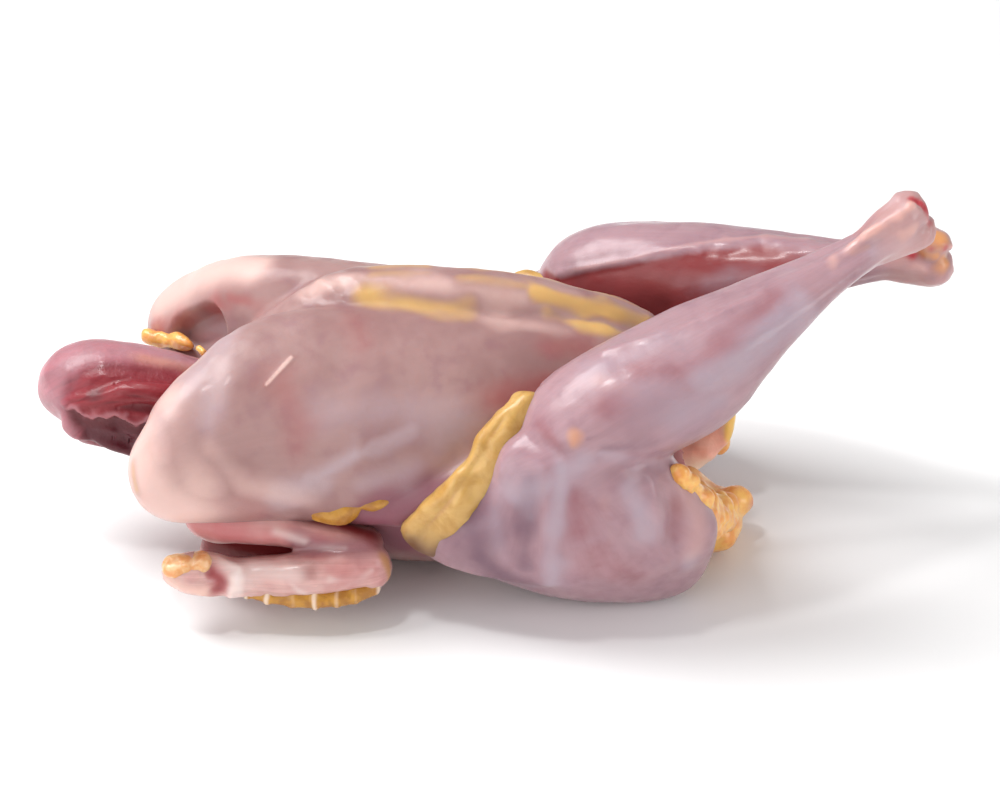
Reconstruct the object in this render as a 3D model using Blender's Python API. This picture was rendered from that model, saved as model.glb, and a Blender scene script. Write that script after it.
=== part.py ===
"""A raw, skinned whole chicken lying on its back, as one closed solid.

Each muscle is lofted on its own, as a tube whose section changes along a path. A voxel
remesh then fuses the tubes, as the membranes of the real bird join its muscles, and the
body cavity and the flat back are cut from the fused body.
Lengths are millimetres until an object is made. The neck points to -X, the legs to +X, and
the breast is up. The bird's right side is at -Y.
"""

import bmesh
import bpy
import numpy as np
from mathutils import Matrix, Vector

MM = 0.001

# Driving dimensions
KEEL_HEIGHT = 93.0
NECK_TIP = (-142.0, 2.0, 48.0)
TAIL_TIP = (76.0, -8.0, 9.0)
VENT_WIDTH = 38.0
VENT_HEIGHT = 28.0
VENT_DEPTH = 85.0

VOXEL = 1.9
SOFTEN_STEPS = 3
TRIANGLES_KEPT = 11000

FLESH_COLOUR = (0.62, 0.33, 0.31, 1.0)
FLESH_ROUGHNESS = 0.34

RIGHT, LEFT = -1, 1

# The bird lies a little crooked: each pair is given for the two sides
KNEE = {RIGHT: (14.0, -49.0, 62.0), LEFT: (20.0, 49.0, 60.0)}
ANKLE = {RIGHT: (126.0, -8.0, 116.5), LEFT: (136.0, 6.0, 95.0)}
SHOULDER_X = {RIGHT: -110.0, LEFT: -113.0}
LIP_REACH = {RIGHT: 54.0, LEFT: 74.0}

# The left leg lies lower, so its calf stands up rounder
CALF_TOP = {RIGHT: 1.0, LEFT: 1.22}


def smooth_rows(rows, count):
    """Rows of numbers, resampled to count rows along a Catmull-Rom curve through them."""
    rows = np.array(rows, float)
    padded = np.vstack([2 * rows[0] - rows[1], rows, 2 * rows[-1] - rows[-2]])
    place = np.linspace(0, len(rows) - 1, count)
    span = np.minimum(place.astype(int), len(rows) - 2)
    t = (place - span)[:, None]
    before, start, end, after = (padded[span + k] for k in range(4))
    return 0.5 * (
        2 * start
        + (end - before) * t
        + (2 * before - 5 * start + 4 * end - after) * t**2
        + (3 * start - before - 3 * end + after) * t**3
    )


def unit(vectors):
    return vectors / np.linalg.norm(vectors, axis=-1, keepdims=True)


def dome(run, caps):
    """Share of the full section at each distance along a tube whose ends are domes, caps long."""
    from_start = np.clip(run / caps[0], 0, 1)
    from_end = np.clip((run[-1] - run) / caps[1], 0, 1)
    share = np.sqrt(1 - (1 - from_start) ** 2) * np.sqrt(1 - (1 - from_end) ** 2)
    return np.maximum(share, 0.02)


def lofted(rows, caps, up=(0, 0, 1), rings=36, sides=28):
    """The points of a tube, as an array of rings x sides x 3.

    A row is x, y, z, the section's reach to its left, right, up and down sides, and a roll in
    degrees, which may be left out. Right is the path's direction crossed with up. The section
    is four quarter ellipses.
    """
    rows = [(*row, 0.0)[:8] for row in rows]
    sampled = smooth_rows(rows, rings)
    path = sampled[:, :3]
    along = unit(np.gradient(path, axis=0))
    across = unit(np.cross(along, up))
    upward = np.cross(across, along)
    roll = np.radians(sampled[:, 7:])
    right = across * np.cos(roll) + upward * np.sin(roll)
    top = upward * np.cos(roll) - across * np.sin(roll)
    step = np.linalg.norm(np.diff(path, axis=0), axis=1)
    run = np.concatenate([[0], np.cumsum(step)])
    reach = np.maximum(sampled[:, 3:7], 0.2) * dome(run, caps)[:, None]

    angle = np.linspace(0, 2 * np.pi, sides, endpoint=False)
    cosine, sine = np.cos(angle), np.sin(angle)
    sideways = np.where(cosine > 0, reach[:, 1:2], reach[:, 0:1]) * cosine
    vertical = np.where(sine > 0, reach[:, 2:3], reach[:, 3:4]) * sine
    return path[:, None] + sideways[..., None] * right[:, None] + vertical[..., None] * top[:, None]


def on_side(points, side):
    """The same tube on the given side of the bird. Tubes are drawn for its right side."""
    return points if side == RIGHT else points * np.array([1, -1, 1])


def on_leg(points, side):
    """As on_side, moved with the knee where the left leg lies off from the right one."""
    return on_side(points, side) + np.array(KNEE[side]) - on_side(np.array(KNEE[RIGHT]), side)


def torso():
    """Ribs, back and pelvis, flat enough below to lie on. The end round the vent is open later."""
    rows = [
        (-92, 0, 40, 22, 22, 16, 18),
        (-70, 0, 38, 36, 36, 26, 34),
        (-35, 0, 36, 42, 42, 34, 38),
        (5, 0, 35, 42, 42, 34, 38),
        (34, 0, 33, 38, 38, 28, 35),
        (48, 0, 29, 27, 27, 24, 26),
        (58, 1, 27, 20, 18, 19, 20),
    ]
    return lofted(rows, caps=(16, 5), sides=40)


def breast(side):
    """One pectoral: from the shoulder, up over the wishbone, and back to a point by the keel."""
    rows = [
        (SHOULDER_X[side], -45, 49, 16, 11, 15, 12, 12),
        (-99, -44, 49, 20, 14, 19, 16, 16),
        (-82, -39, 51, 23, 17, 29, 21, 26),
        (-60, -32, 54, 26, 18, 37, 26, 34),
        (-30, -28, 55, 26, 17, 36, 24, 37),
        (0, -23, 57, 23, 15, 31, 22, 38),
        (26, -16, 62, 17, 12, 21, 19, 38),
        (48, -8, 67, 8, 7, 10, 11, 38),
    ]
    return on_side(lofted(rows, caps=(14, 12), rings=48, sides=36), side)


def keel():
    """The breastbone's crest, a low ridge between the pectorals, ending in a point at the vent."""
    top = KEEL_HEIGHT
    rows = [
        (-82, 0, top - 29, 7, 7, 9, 12),
        (-68, 0, top - 22, 9, 9, 10, 16),
        (-50, 0, top - 13, 9, 9, 10, 20),
        (-30, 0, top - 12, 7, 7, 12, 22),
        (0, 0, top - 13, 6, 6, 11, 22),
        (30, 0, top - 20, 6, 6, 10, 20),
        (44, 0, top - 26, 6, 6, 9, 16),
        (57, 0, top - 33, 5, 5, 7, 10),
    ]
    return lofted(rows, caps=(8, 8), sides=16)


def shin(side):
    """Where the shin bone starts, and the step from there to its end."""
    knee = np.array(KNEE[side])
    return knee, np.array(ANKLE[side]) - knee


def drumstick(side):
    """Calf muscle round the shin bone, down to the bare ankle."""
    knee, bone = shin(side)
    # Share of the bone, then the reach to the inner, outer, upper and lower sides
    girths = [
        (-0.07, 14, 14, 9, 16),
        (0.12, 17, 19, 16, 21),
        (0.36, 17, 19, 14, 24),
        (0.57, 13, 14, 9.5, 12.5),
        (0.73, 8.5, 9, 5.5, 7.5),
        (0.85, 6, 6.5, 5, 6),
        (0.97, 6, 6.5, 6, 6),
    ]
    rows = []
    for share, inner, outer, above, below in girths:
        left, right = (inner, outer) if side == RIGHT else (outer, inner)
        rows.append((*(knee + bone * share), left, right, above * CALF_TOP[side], below))
    return lofted(rows, caps=(14, 6), rings=60, sides=32)


def ankle_knob(side, offset):
    """One of the two knobs the shin bone flares into, off its line by offset at the end."""
    knee, bone = shin(side)
    across = unit(np.cross(bone, (0, 0, 1)))
    upward = unit(np.cross(across, bone))
    rows = []
    for share, spread, girth in ((0.80, 0.1, 4.5), (0.88, 0.6, 5.5), (0.95, 1.0, 6.2), (1.0, 1.1, 5.5)):
        centre = knee + bone * share + upward * offset * spread
        rows.append((*centre, girth + 0.5, girth + 0.5, girth, girth))
    return lofted(rows, caps=(6, 7), rings=20, sides=20)


def thigh(side):
    """The fan of muscle from the knee down to the hip, thin seen from above and wide from the side."""
    rows = [
        (14, -48, 70, 10, 12, 13, 11),
        (16, -49, 58, 16, 15, 24, 19),
        (19, -48, 44, 22, 17, 36, 35),
        (20, -46, 31, 26, 17, 44, 46),
        (20, -41, 19, 26, 15, 43, 39),
        (16, -35, 2, 22, 9, 38, 24),
    ]
    return on_leg(lofted(rows, caps=(10, 16), up=(1, 0, 0), rings=40, sides=36), side)


def flank_fat(side):
    """The thick strip of fat in the fold between breast and thigh."""
    rows = [
        (9, -42, 73, 5, 5, 4, 8),
        (1, -48, 63, 6, 6, 4, 9),
        (-8, -51.5, 50, 7, 7, 4, 10),
        (-17, -52, 37, 7, 7, 4, 10),
        (-24, -49, 25, 6, 6, 4, 10),
    ]
    return on_leg(lofted(rows, caps=(5, 5), up=(0, -1, 0), rings=28, sides=20), side)


def edge_fat(side):
    """A pad of fat under the lower edge of the breast."""
    rows = [
        (-64, -44, 37, 4, 4, 3, 3),
        (-54, -47, 35, 5, 6, 4, 4),
        (-42, -47, 36, 5, 5, 3.5, 3.5),
        (-33, -46, 38, 4, 4, 3, 3),
    ]
    return on_side(lofted(rows, caps=(4, 4), rings=20, sides=16), side)


def wing_arm(side):
    """Upper arm, from the shoulder back to the elbow, under the edge of the breast."""
    rows = [
        (-94, -41, 38, 12, 9, 12, 12),
        (-74, -45, 29, 11, 9, 10, 10),
        (-52, -47, 24, 9, 8, 8, 7),
        (-36, -47, 21, 7, 7, 8, 7),
    ]
    return on_side(lofted(rows, caps=(10, 6), sides=20), side)


def wing_forearm(side):
    """Forearm, folded forward from the elbow to the cut wrist."""
    rows = [
        (-32, -48, 18, 6, 6, 8, 5),
        (-44, -50, 17, 8, 7, 9, 6),
        (-60, -52, 16.5, 8, 7, 8, 6),
        (-72, -52, 16.5, 7, 6.5, 6.5, 5.5),
        (-79, -52, 17, 6, 6, 5.5, 5.5),
        (-89, -52, 18, 7.5, 6.5, 7, 6.5),
        (-101, -51, 18, 6, 5.5, 5.5, 5),
    ]
    return on_side(lofted(rows, caps=(6, 9), rings=44, sides=24), side)


def quill_edge(side):
    """The trailing edge of the forearm, a low ridge where the feather quills sat."""
    rows = [
        (-76, -52, 12, 4, 4, 3, 3),
        (-60, -54, 11, 5, 4, 4, 3.5),
        (-46, -53, 11, 5, 4, 4, 3.5),
        (-36, -51, 13, 4, 4, 4, 3),
    ]
    return on_side(lofted(rows, caps=(4, 5), rings=28, sides=16), side)


def neck():
    """The neck's stump, a thick bundle of muscle with a rounded end."""
    rows = [
        (-70, 0, 34, 15, 15, 14, 14),
        (-92, 0, 42, 17, 15, 17, 17),
        (-113, 1, 48, 18, 15, 17, 17),
        (-130, 2, 51, 16, 15, 14.5, 14.5),
        (*NECK_TIP, 12, 12, 11, 11),
    ]
    return lofted(rows, caps=(6, 18), sides=28)


def neck_strand(number):
    """One muscle strand on the neck's open side; the strands gather towards the tip."""
    low = 5.5 * number
    rows = [
        (-92, -13, 55 - 1.6 * low, 4, 3, 4, 4),
        (-108, -14, 58 - 1.3 * low, 4, 4, 4.5, 4.5),
        (-122, -13, 55 - 0.8 * low, 4, 3.5, 4, 4),
        (-134, -9, 52 - 0.4 * low, 3, 3, 3.5, 3.5),
    ]
    return lofted(rows, caps=(5, 6), rings=24, sides=16)


def tail():
    """The stump of the tail, flat and fatty."""
    rows = [
        (50, -3, 15, 20, 20, 9, 14),
        (64, -7, 10, 16, 16, 7, 9),
        (*TAIL_TIP, 13, 13, 7, 7),
    ]
    return lofted(rows, caps=(6, 7), sides=24)


def tail_fat(x, y, z, size):
    """One lump of fat on top of the tail."""
    rows = [
        (x - size, y + 2, z, size, size, size, size),
        (x + size, y - 2, z - 1, size, size, size, size),
    ]
    return lofted(rows, caps=(size, size), rings=12, sides=14)


def vent_lip(side):
    """The cut edge of the belly wall beside the vent, leaning outwards as it rises."""
    reach = LIP_REACH[side]
    rows = [
        (52, -17, 10, 4, 4, 4, 8),
        (reach - 9, -19, 18, 4, 3, 4, 9),
        (reach - 4, -20, 28, 4, 3, 4, 10),
        (reach - 7, -18, 40, 4, 3, 4, 10),
        (52, -12, 52, 5, 4, 4, 9),
    ]
    return on_side(lofted(rows, caps=(4, 5), up=(1, 0, 0), rings=28, sides=18), side)


def vent():
    """The hollow behind the vent, widest a little inside its mouth."""
    width, height = VENT_WIDTH / 2, VENT_HEIGHT / 2
    rows = [
        (95, 0, 41, width, width, height + 6, height),
        (74, 0, 40, width, width, height + 3, height),
        (58, 0, 37, width, width, height, height),
        (36, 0, 37, width + 5, width + 5, height + 4, height + 3),
        (10, 0, 38, width + 5, width + 5, height + 6, height + 4),
        (60 - VENT_DEPTH, 0, 39, width, width, height, height),
    ]
    return lofted(rows, caps=(0.5, 20), rings=28, sides=24)


PAIRED = (
    breast,
    thigh,
    drumstick,
    flank_fat,
    edge_fat,
    wing_arm,
    wing_forearm,
    quill_edge,
    vent_lip,
)
TAIL_LUMPS = ((62, -14, 17, 5), (60, -2, 19, 6), (69, -10, 15, 5), (74, -3, 13, 5))


def flesh_tubes():
    tubes = [torso(), keel(), neck(), tail()]
    tubes += [make(side) for side in (RIGHT, LEFT) for make in PAIRED]
    tubes += [ankle_knob(side, offset) for side in (RIGHT, LEFT) for offset in (-3.5, 3.5)]
    tubes += [neck_strand(number) for number in range(4)]
    tubes += [tail_fat(*lump) for lump in TAIL_LUMPS]
    return tubes


def add_tube(mesh, points):
    """Closes the rings of points into one tube, with a flat fan at each end."""
    rings = [[mesh.verts.new(Vector(point) * MM) for point in ring] for ring in points]
    faces = [mesh.faces.new(rings[0][::-1]), mesh.faces.new(rings[-1])]
    for near, far in zip(rings, rings[1:]):
        for k in range(len(near)):
            j = (k + 1) % len(near)
            faces.append(mesh.faces.new((near[k], near[j], far[j], far[k])))
    bmesh.ops.recalc_face_normals(mesh, faces=faces)


def object_from(name, mesh):
    data = bpy.data.meshes.new(name)
    mesh.to_mesh(data)
    mesh.free()
    thing = bpy.data.objects.new(name, data)
    bpy.context.scene.collection.objects.link(thing)
    return thing


def tubes_object(name, tubes):
    mesh = bmesh.new()
    for points in tubes:
        add_tube(mesh, points)
    return object_from(name, mesh)


def floor_block():
    """Everything below the table's surface, where the bird's back lies flat."""
    mesh = bmesh.new()
    bmesh.ops.create_cube(mesh, size=1.0, matrix=Matrix.Diagonal((0.5, 0.5, 0.1, 1.0)))
    bmesh.ops.translate(mesh, verts=mesh.verts, vec=(0, 0, -0.05))
    return object_from("below_table", mesh)


def cut(body, cutter):
    cutter.hide_render = True
    cutter.display_type = "WIRE"
    step = body.modifiers.new("cut " + cutter.name, "BOOLEAN")
    step.operation = "DIFFERENCE"
    step.solver = "EXACT"
    step.object = cutter


def fuse(body):
    remesh = body.modifiers.new("fuse", "REMESH")
    remesh.mode = "VOXEL"
    remesh.voxel_size = VOXEL * MM


def soften(body):
    step = body.modifiers.new("soften", "SMOOTH")
    step.iterations = SOFTEN_STEPS
    step.factor = 0.5


def bake(body):
    """Turns what the modifiers make into the object's own mesh."""
    bpy.context.view_layer.update()
    baked = bpy.data.meshes.new_from_object(body.evaluated_get(bpy.context.evaluated_depsgraph_get()))
    body.modifiers.clear()
    body.data = baked


def island(start):
    """Every vertex joined to start by edges."""
    found, waiting = {start}, [start]
    while waiting:
        for edge in waiting.pop().link_edges:
            for vertex in edge.verts:
                if vertex not in found:
                    found.add(vertex)
                    waiting.append(vertex)
    return found


def keep_outer_skin(body):
    """Removes the pockets the remesh leaves between muscles, which are shells of their own."""
    mesh = bmesh.new()
    mesh.from_mesh(body.data)
    outer = island(max(mesh.verts, key=lambda vertex: vertex.co.z))
    bmesh.ops.delete(mesh, geom=[v for v in mesh.verts if v not in outer], context="VERTS")
    mesh.to_mesh(body.data)
    mesh.free()


def thin(body):
    """Leaves about TRIANGLES_KEPT triangles."""
    triangles = sum(len(face.vertices) - 2 for face in body.data.polygons)
    step = body.modifiers.new("thin", "DECIMATE")
    step.ratio = TRIANGLES_KEPT / triangles


def centre_on_origin(body):
    """Moves the middle of the box to x = y = 0. The table is at z = 0 already."""
    corners = np.array([vertex.co for vertex in body.data.vertices])
    middle = (corners.min(axis=0) + corners.max(axis=0)) / 2
    body.data.transform(Matrix.Translation((-middle[0], -middle[1], 0)))


def flesh():
    material = bpy.data.materials.new("raw_flesh")
    material.use_nodes = True
    shader = material.node_tree.nodes["Principled BSDF"]
    shader.inputs["Base Color"].default_value = FLESH_COLOUR
    shader.inputs["Roughness"].default_value = FLESH_ROUGHNESS
    return material


def main():
    for old in list(bpy.data.objects):
        bpy.data.objects.remove(old)
    body = tubes_object("chicken", flesh_tubes())
    hollow = tubes_object("vent_hollow", [vent()])
    table = floor_block()
    fuse(body)
    cut(body, hollow)
    fuse(body)
    soften(body)
    cut(body, table)
    bake(body)
    for cutter in (hollow, table):
        bpy.data.objects.remove(cutter)
    keep_outer_skin(body)
    thin(body)
    bake(body)
    centre_on_origin(body)
    body.data.materials.append(flesh())
    return body


main()
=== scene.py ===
# %% [markdown]
# # A raw, skinned chicken, lying on its back
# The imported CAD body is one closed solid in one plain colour. This lesson dresses it: the
# same muscles are built again, finer and as separate pieces, so that each gets the creases,
# fibres, fat and membranes of the real bird. Every length is in millimetres until a mesh is made.

import bpy
import numpy as np
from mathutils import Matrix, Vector


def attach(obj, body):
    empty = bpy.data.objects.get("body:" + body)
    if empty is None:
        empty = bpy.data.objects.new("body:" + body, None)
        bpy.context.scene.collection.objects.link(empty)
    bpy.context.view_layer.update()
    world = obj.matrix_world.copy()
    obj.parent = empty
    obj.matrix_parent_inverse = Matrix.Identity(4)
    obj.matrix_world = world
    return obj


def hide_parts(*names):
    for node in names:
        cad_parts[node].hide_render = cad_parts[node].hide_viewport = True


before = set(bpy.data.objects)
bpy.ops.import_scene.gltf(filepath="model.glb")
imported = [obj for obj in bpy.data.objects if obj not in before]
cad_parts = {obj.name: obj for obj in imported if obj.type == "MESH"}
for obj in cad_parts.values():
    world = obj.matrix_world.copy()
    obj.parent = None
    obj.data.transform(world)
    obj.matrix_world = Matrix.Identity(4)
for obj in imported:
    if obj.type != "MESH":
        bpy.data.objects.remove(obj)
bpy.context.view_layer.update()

# %% [markdown]
# ## Numbers that every piece shares
# The muscles are drawn with the keel on y = 0. The CAD body was then moved so that its box is
# centred, so every finished point is moved by the same step. RIGHT and LEFT are the bird's own
# sides: its right side faces the camera. The bird lies crooked, so the two legs differ.

# %% Shared numbers
MM = 0.001
CENTRING = np.array([2.36, 0.0, 0.0])

RIGHT, LEFT = -1, 1
SIDE_NAME = {RIGHT: "right", LEFT: "left"}
# The shin bone runs from the knee to the ankle
KNEE = {RIGHT: (14.0, -49.0, 62.0), LEFT: (20.0, 49.0, 60.0)}
ANKLE = {RIGHT: (126.0, -8.0, 116.5), LEFT: (136.0, 6.0, 95.0)}
SHOULDER_X = {RIGHT: -110.0, LEFT: -113.0}    # the front end of each breast
LIP_REACH = {RIGHT: 54.0, LEFT: 74.0}    # how far the cut edges of the belly wall reach in x
CALF_TOP = {RIGHT: 1.0, LEFT: 1.22}    # a factor: the left calf stands higher over its bone
KEEL_HEIGHT = 93.0
for side, name in SIDE_NAME.items():
    shin_length = np.linalg.norm(np.subtract(ANKLE[side], KNEE[side]))
    print(f"{name} shin, mm: {shin_length:.1f}")

# %% [markdown]
# ## A muscle as a tube
# A muscle is long, rounded, and thickest somewhere in its middle. The shortest description is
# a path with a section that changes along it, which is a surface of two parameters: how far
# along, and how far round. A metaball or a sculpted lump could make the same form, but then
# no number would say where the knee is.

# %% Tubes


def smooth_rows(rows, count):
    """Rows of numbers, resampled to count rows along a Catmull-Rom curve through them:
    half of (2 b + (c - a) t + (2 a - 5 b + 4 c - d) t^2 + (3 b - a - 3 c + d) t^3)."""
    rows = np.array(rows, float)
    padded = np.vstack([2 * rows[0] - rows[1], rows, 2 * rows[-1] - rows[-2]])
    place = np.linspace(0, len(rows) - 1, count)
    span = np.minimum(place.astype(int), len(rows) - 2)
    t = (place - span)[:, None]
    a, b, c, d = (padded[span + k] for k in range(4))
    return 0.5 * (
        2 * b + (c - a) * t + (2 * a - 5 * b + 4 * c - d) * t**2 + (3 * b - a - 3 * c + d) * t**3
    )


def unit(vectors):
    return vectors / np.linalg.norm(vectors, axis=-1, keepdims=True)


def dome(run, caps):
    """Share of the full section along a tube whose ends are domes: the root of 1 - (1 - s)^2,
    where s is the distance from the end over the length of its cap."""
    start = np.clip(run / caps[0], 0, 1)
    end = np.clip((run[-1] - run) / caps[1], 0, 1)
    return np.maximum(np.sqrt(1 - (1 - start) ** 2) * np.sqrt(1 - (1 - end) ** 2), 0.02)


def lofted(rows, caps, up=(0, 0, 1), rings=60, sides=48):
    """A tube as an array of rings x sides x 3: path(s) + right(s) a(s) cos t + top(s) b(s) sin t.
    A row is x, y, z and the reach to the left, right, upper and lower sides."""
    sampled = smooth_rows(rows, rings)
    path = sampled[:, :3]
    along = unit(np.gradient(path, axis=0))
    right = unit(np.cross(along, up))
    top = np.cross(right, along)
    run = np.concatenate([[0], np.cumsum(np.linalg.norm(np.diff(path, axis=0), axis=1))])
    reach = np.maximum(sampled[:, 3:7], 0.2) * dome(run, caps)[:, None]
    turn = np.linspace(0, 2 * np.pi, sides, endpoint=False)
    cosine, sine = np.cos(turn), np.sin(turn)
    sideways = np.where(cosine > 0, reach[:, 1:2], reach[:, 0:1]) * cosine
    vertical = np.where(sine > 0, reach[:, 2:3], reach[:, 3:4]) * sine
    return path[:, None] + sideways[..., None] * right[:, None] + vertical[..., None] * top[:, None]


def on_side(points, side):
    """Points drawn for the right side, mirrored for the left one."""
    return np.asarray(points, float) * ((1, 1, 1) if side == RIGHT else (1, -1, 1))


def on_leg(points, side):
    """As on_side, and moved with the knee, because the left leg lies off from the right one."""
    return on_side(points, side) + np.array(KNEE[side]) - on_side(KNEE[RIGHT], side)


straight = lofted([(0, 0, 0, 5, 5, 5, 5), (40, 0, 0, 5, 5, 5, 5)], caps=(5, 5))
print("a straight test tube, rings x sides x 3:", straight.shape)

# %% [markdown]
# ## From tubes to one skin
# Real muscles are wrapped in a membrane that bridges the grooves between them. A voxel remesh
# does the same to a pile of closed tubes: it fills everything inside with cubes and wraps the
# result in one even skin. A Boolean union would keep every sharp groove. A few rounds of
# smoothing then take the stair steps off.

# %% Mesh helpers


def tube_faces(rings, sides):
    """Quads of a grid that closes round its sides, and one many-sided face over each end."""
    ring, side = np.meshgrid(np.arange(rings - 1), np.arange(sides), indexing="ij")
    after = (side + 1) % sides
    quads = np.stack([ring * sides + side, ring * sides + after,
                      (ring + 1) * sides + after, (ring + 1) * sides + side], axis=-1)
    last = (rings - 1) * sides
    ends = [list(range(sides))[::-1], list(range(last, last + sides))]
    return quads.reshape(-1, 4).tolist() + ends


def new_object(name, points, faces):
    data = bpy.data.meshes.new(name)
    data.from_pydata((np.asarray(points) * MM).tolist(), [], faces)
    thing = bpy.data.objects.new(name, data)
    bpy.context.scene.collection.objects.link(thing)
    return thing


def facing_out(tube):
    """The tube with its rings running anticlockwise about its path, so that its faces point
    outwards. Mirroring turns them the other way. The test is the sign of the middle ring's
    area vector, the sum of p x q over its neighbours, along the path."""
    middle = len(tube) // 2
    ring = tube[middle] - tube[middle].mean(axis=0)
    area = np.cross(ring, np.roll(ring, -1, axis=0)).sum(axis=0)
    onwards = (tube[middle + 1] - tube[middle - 1]).mean(axis=0)
    return tube if area @ onwards > 0 else tube[:, ::-1]


def tubes_object(name, tubes):
    """One object that holds every tube, each as a closed shell of its own."""
    points, faces = [], []
    for tube in map(facing_out, tubes):
        first = sum(len(block) for block in points)
        faces += [[first + k for k in face] for face in tube_faces(*tube.shape[:2])]
        points.append(tube.reshape(-1, 3))
    return new_object(name, np.concatenate(points), faces)


def bake(thing):
    """Turns what the modifiers make into the object's own mesh."""
    view = bpy.context.evaluated_depsgraph_get()
    baked = bpy.data.meshes.new_from_object(thing.evaluated_get(view))
    thing.modifiers.clear()
    thing.data = baked


def remeshed(thing, voxel, rounds, hollow=None):
    """The object wrapped in one skin of even quads, voxel mm across, smoothed rounds times."""
    wrap = thing.modifiers.new("wrap", "REMESH")
    wrap.mode, wrap.voxel_size = "VOXEL", voxel * MM
    if hollow:
        opening = thing.modifiers.new("opening", "BOOLEAN")
        opening.operation, opening.solver, opening.object = "DIFFERENCE", "EXACT", hollow
        again = thing.modifiers.new("wrap again", "REMESH")
        again.mode, again.voxel_size = "VOXEL", voxel * MM
    ease = thing.modifiers.new("ease", "SMOOTH")
    ease.iterations, ease.factor = rounds, 0.5
    bake(thing)
    return thing


def points_of(thing):
    """The mesh's points, in millimetres, as a table of one row each."""
    flat = np.empty(len(thing.data.vertices) * 3)
    thing.data.vertices.foreach_get("co", flat)
    return flat.reshape(-1, 3) / MM


def set_points(thing, points):
    thing.data.vertices.foreach_set("co", (points * MM).ravel())
    thing.data.update()


def normals_of(thing):
    flat = np.empty(len(thing.data.vertices) * 3)
    thing.data.vertex_normals.foreach_get("vector", flat)
    return flat.reshape(-1, 3)


print("faces of the test tube:", len(tube_faces(*straight.shape[:2])))

# %% [markdown]
# ## Lumps, and strokes along a line
# Flesh is never quite smooth. Two tools give it its relief and its colours. The first is a
# lattice noise: random values on a grid, smoothly blended between. The second is a stroke: a
# polyline on the surface with a width, which is 1 on the line and fades to nothing beside it.
# A stroke can push the surface up or in, or be stored as an attribute that the material reads,
# so that fat or a membrane stays where it grows, from wherever the bird is seen.

# %% Noise and strokes


def lumps(points, size, seed):
    """Value noise from -1 to 1: a random number at each corner of a grid of cells size mm
    wide, blended along each axis with the weight 3 t^2 - 2 t^3."""
    table = np.random.default_rng(seed).uniform(-1, 1, 4096)
    cell, t = np.divmod(points / size, 1.0)
    cell = cell.astype(int)
    weight = t * t * (3 - 2 * t)
    total = np.zeros(len(points))
    for corner in np.ndindex(2, 2, 2):
        share = np.prod(np.where(corner, weight, 1 - weight), axis=1)
        total += share * table[((cell + corner) @ (73, 947, 1543)) % len(table)]
    return total


def distance_to(points, line):
    """Distance from each point to a polyline, and how far along it the nearest place is."""
    line = np.asarray(line, float)
    best = np.full(len(points), np.inf)
    place = np.zeros(len(points))
    run = 0.0
    for start, end in zip(line, line[1:]):
        step = end - start
        length = np.linalg.norm(step)
        t = np.clip((points - start) @ step / length**2, 0, 1)
        gap = np.linalg.norm(points - start - t[:, None] * step, axis=1)
        nearer = gap < best
        best = np.where(nearer, gap, best)
        place = np.where(nearer, run + t * length, place)
        run += length
    return best, place / run


def stroke(points, line, width, ragged=0.0, seed=1):
    """1 on the line, fading as exp(-(distance / width)^2); ragged bends the edge with noise."""
    if np.ndim(line) == 1:
        gap = np.linalg.norm(points - np.asarray(line, float), axis=1)
    else:
        gap = distance_to(points, line)[0]
    gap = gap * (1 + ragged * lumps(points, 1.4 * width + 2, seed))
    return np.exp(-((gap / width) ** 2))


def strokes(points, marks, place):
    """The strongest of several strokes. A mark is a line, a width and a strength; place moves
    the lines to the right side of the bird."""
    total = np.zeros(len(points))
    for number, (line, width, strength) in enumerate(marks):
        total = np.maximum(total, strength * stroke(points, place(line), width, 0.6, number))
    return total


def ramp(values, low, high):
    """0 below low, 1 above high, and 3 t^2 - 2 t^3 between."""
    t = np.clip((values - low) / (high - low), 0, 1)
    return t * t * (3 - 2 * t)


def store(thing, **attributes):
    """Keeps each table of numbers on the mesh's points, under its name."""
    for name, values in attributes.items():
        kind, field = ("FLOAT", "value") if values.ndim == 1 else ("FLOAT_VECTOR", "vector")
        layer = thing.data.attributes.new(name, kind, "POINT")
        layer.data.foreach_set(field, np.ascontiguousarray(values, np.float32).ravel())


MM_PER_RADIAN = 15.0    # a limb is about 15 mm in radius, so an arc of one radian is 15 mm


def along_and_round(points, start, end):
    """Fibre coordinates of a long muscle, in mm: along its axis, round it, and out from it."""
    axis = unit(np.array(end, float) - start)
    side = unit(np.cross(axis, (0, 0, 1)))
    top = np.cross(side, axis)
    off = points - start
    out = np.hypot(off @ side, off @ top)
    return np.stack([off @ axis, np.arctan2(off @ top, off @ side) * MM_PER_RADIAN, out], axis=1)


def fanned(points, centre, axis):
    """Fibre coordinates of a fan, in mm: out from its centre, round it (30 mm per radian), and
    along the axis that the fan turns about."""
    axis = unit(np.array(axis, float))
    first = unit(np.cross(axis, (0.3, 0.1, 1.0)))
    second = np.cross(axis, first)
    off = points - centre
    x, y = off @ first, off @ second
    return np.stack([np.hypot(x, y), np.arctan2(y, x) * 30.0, off @ axis], axis=1)


print("lumps at four points:", lumps(straight[::15, 0], 6, 1).round(2))

# %% [markdown]
# ## Colours and nodes
# Colours are written as the sRGB hex values that a paint program shows, and turned to the
# linear values that Blender calculates with. One small function adds a node, sets it and links it.

# %% Colour and node helpers


def linear(code, alpha=1.0):
    """An sRGB hex code as linear red, green and blue: ((c + 0.055) / 1.055)^2.4 above 0.04."""
    part = np.array([int(code[k:k + 2], 16) for k in (0, 2, 4)]) / 255
    value = np.where(part <= 0.04045, part / 12.92, ((part + 0.055) / 1.055) ** 2.4)
    return (*value.tolist(), alpha)


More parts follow.
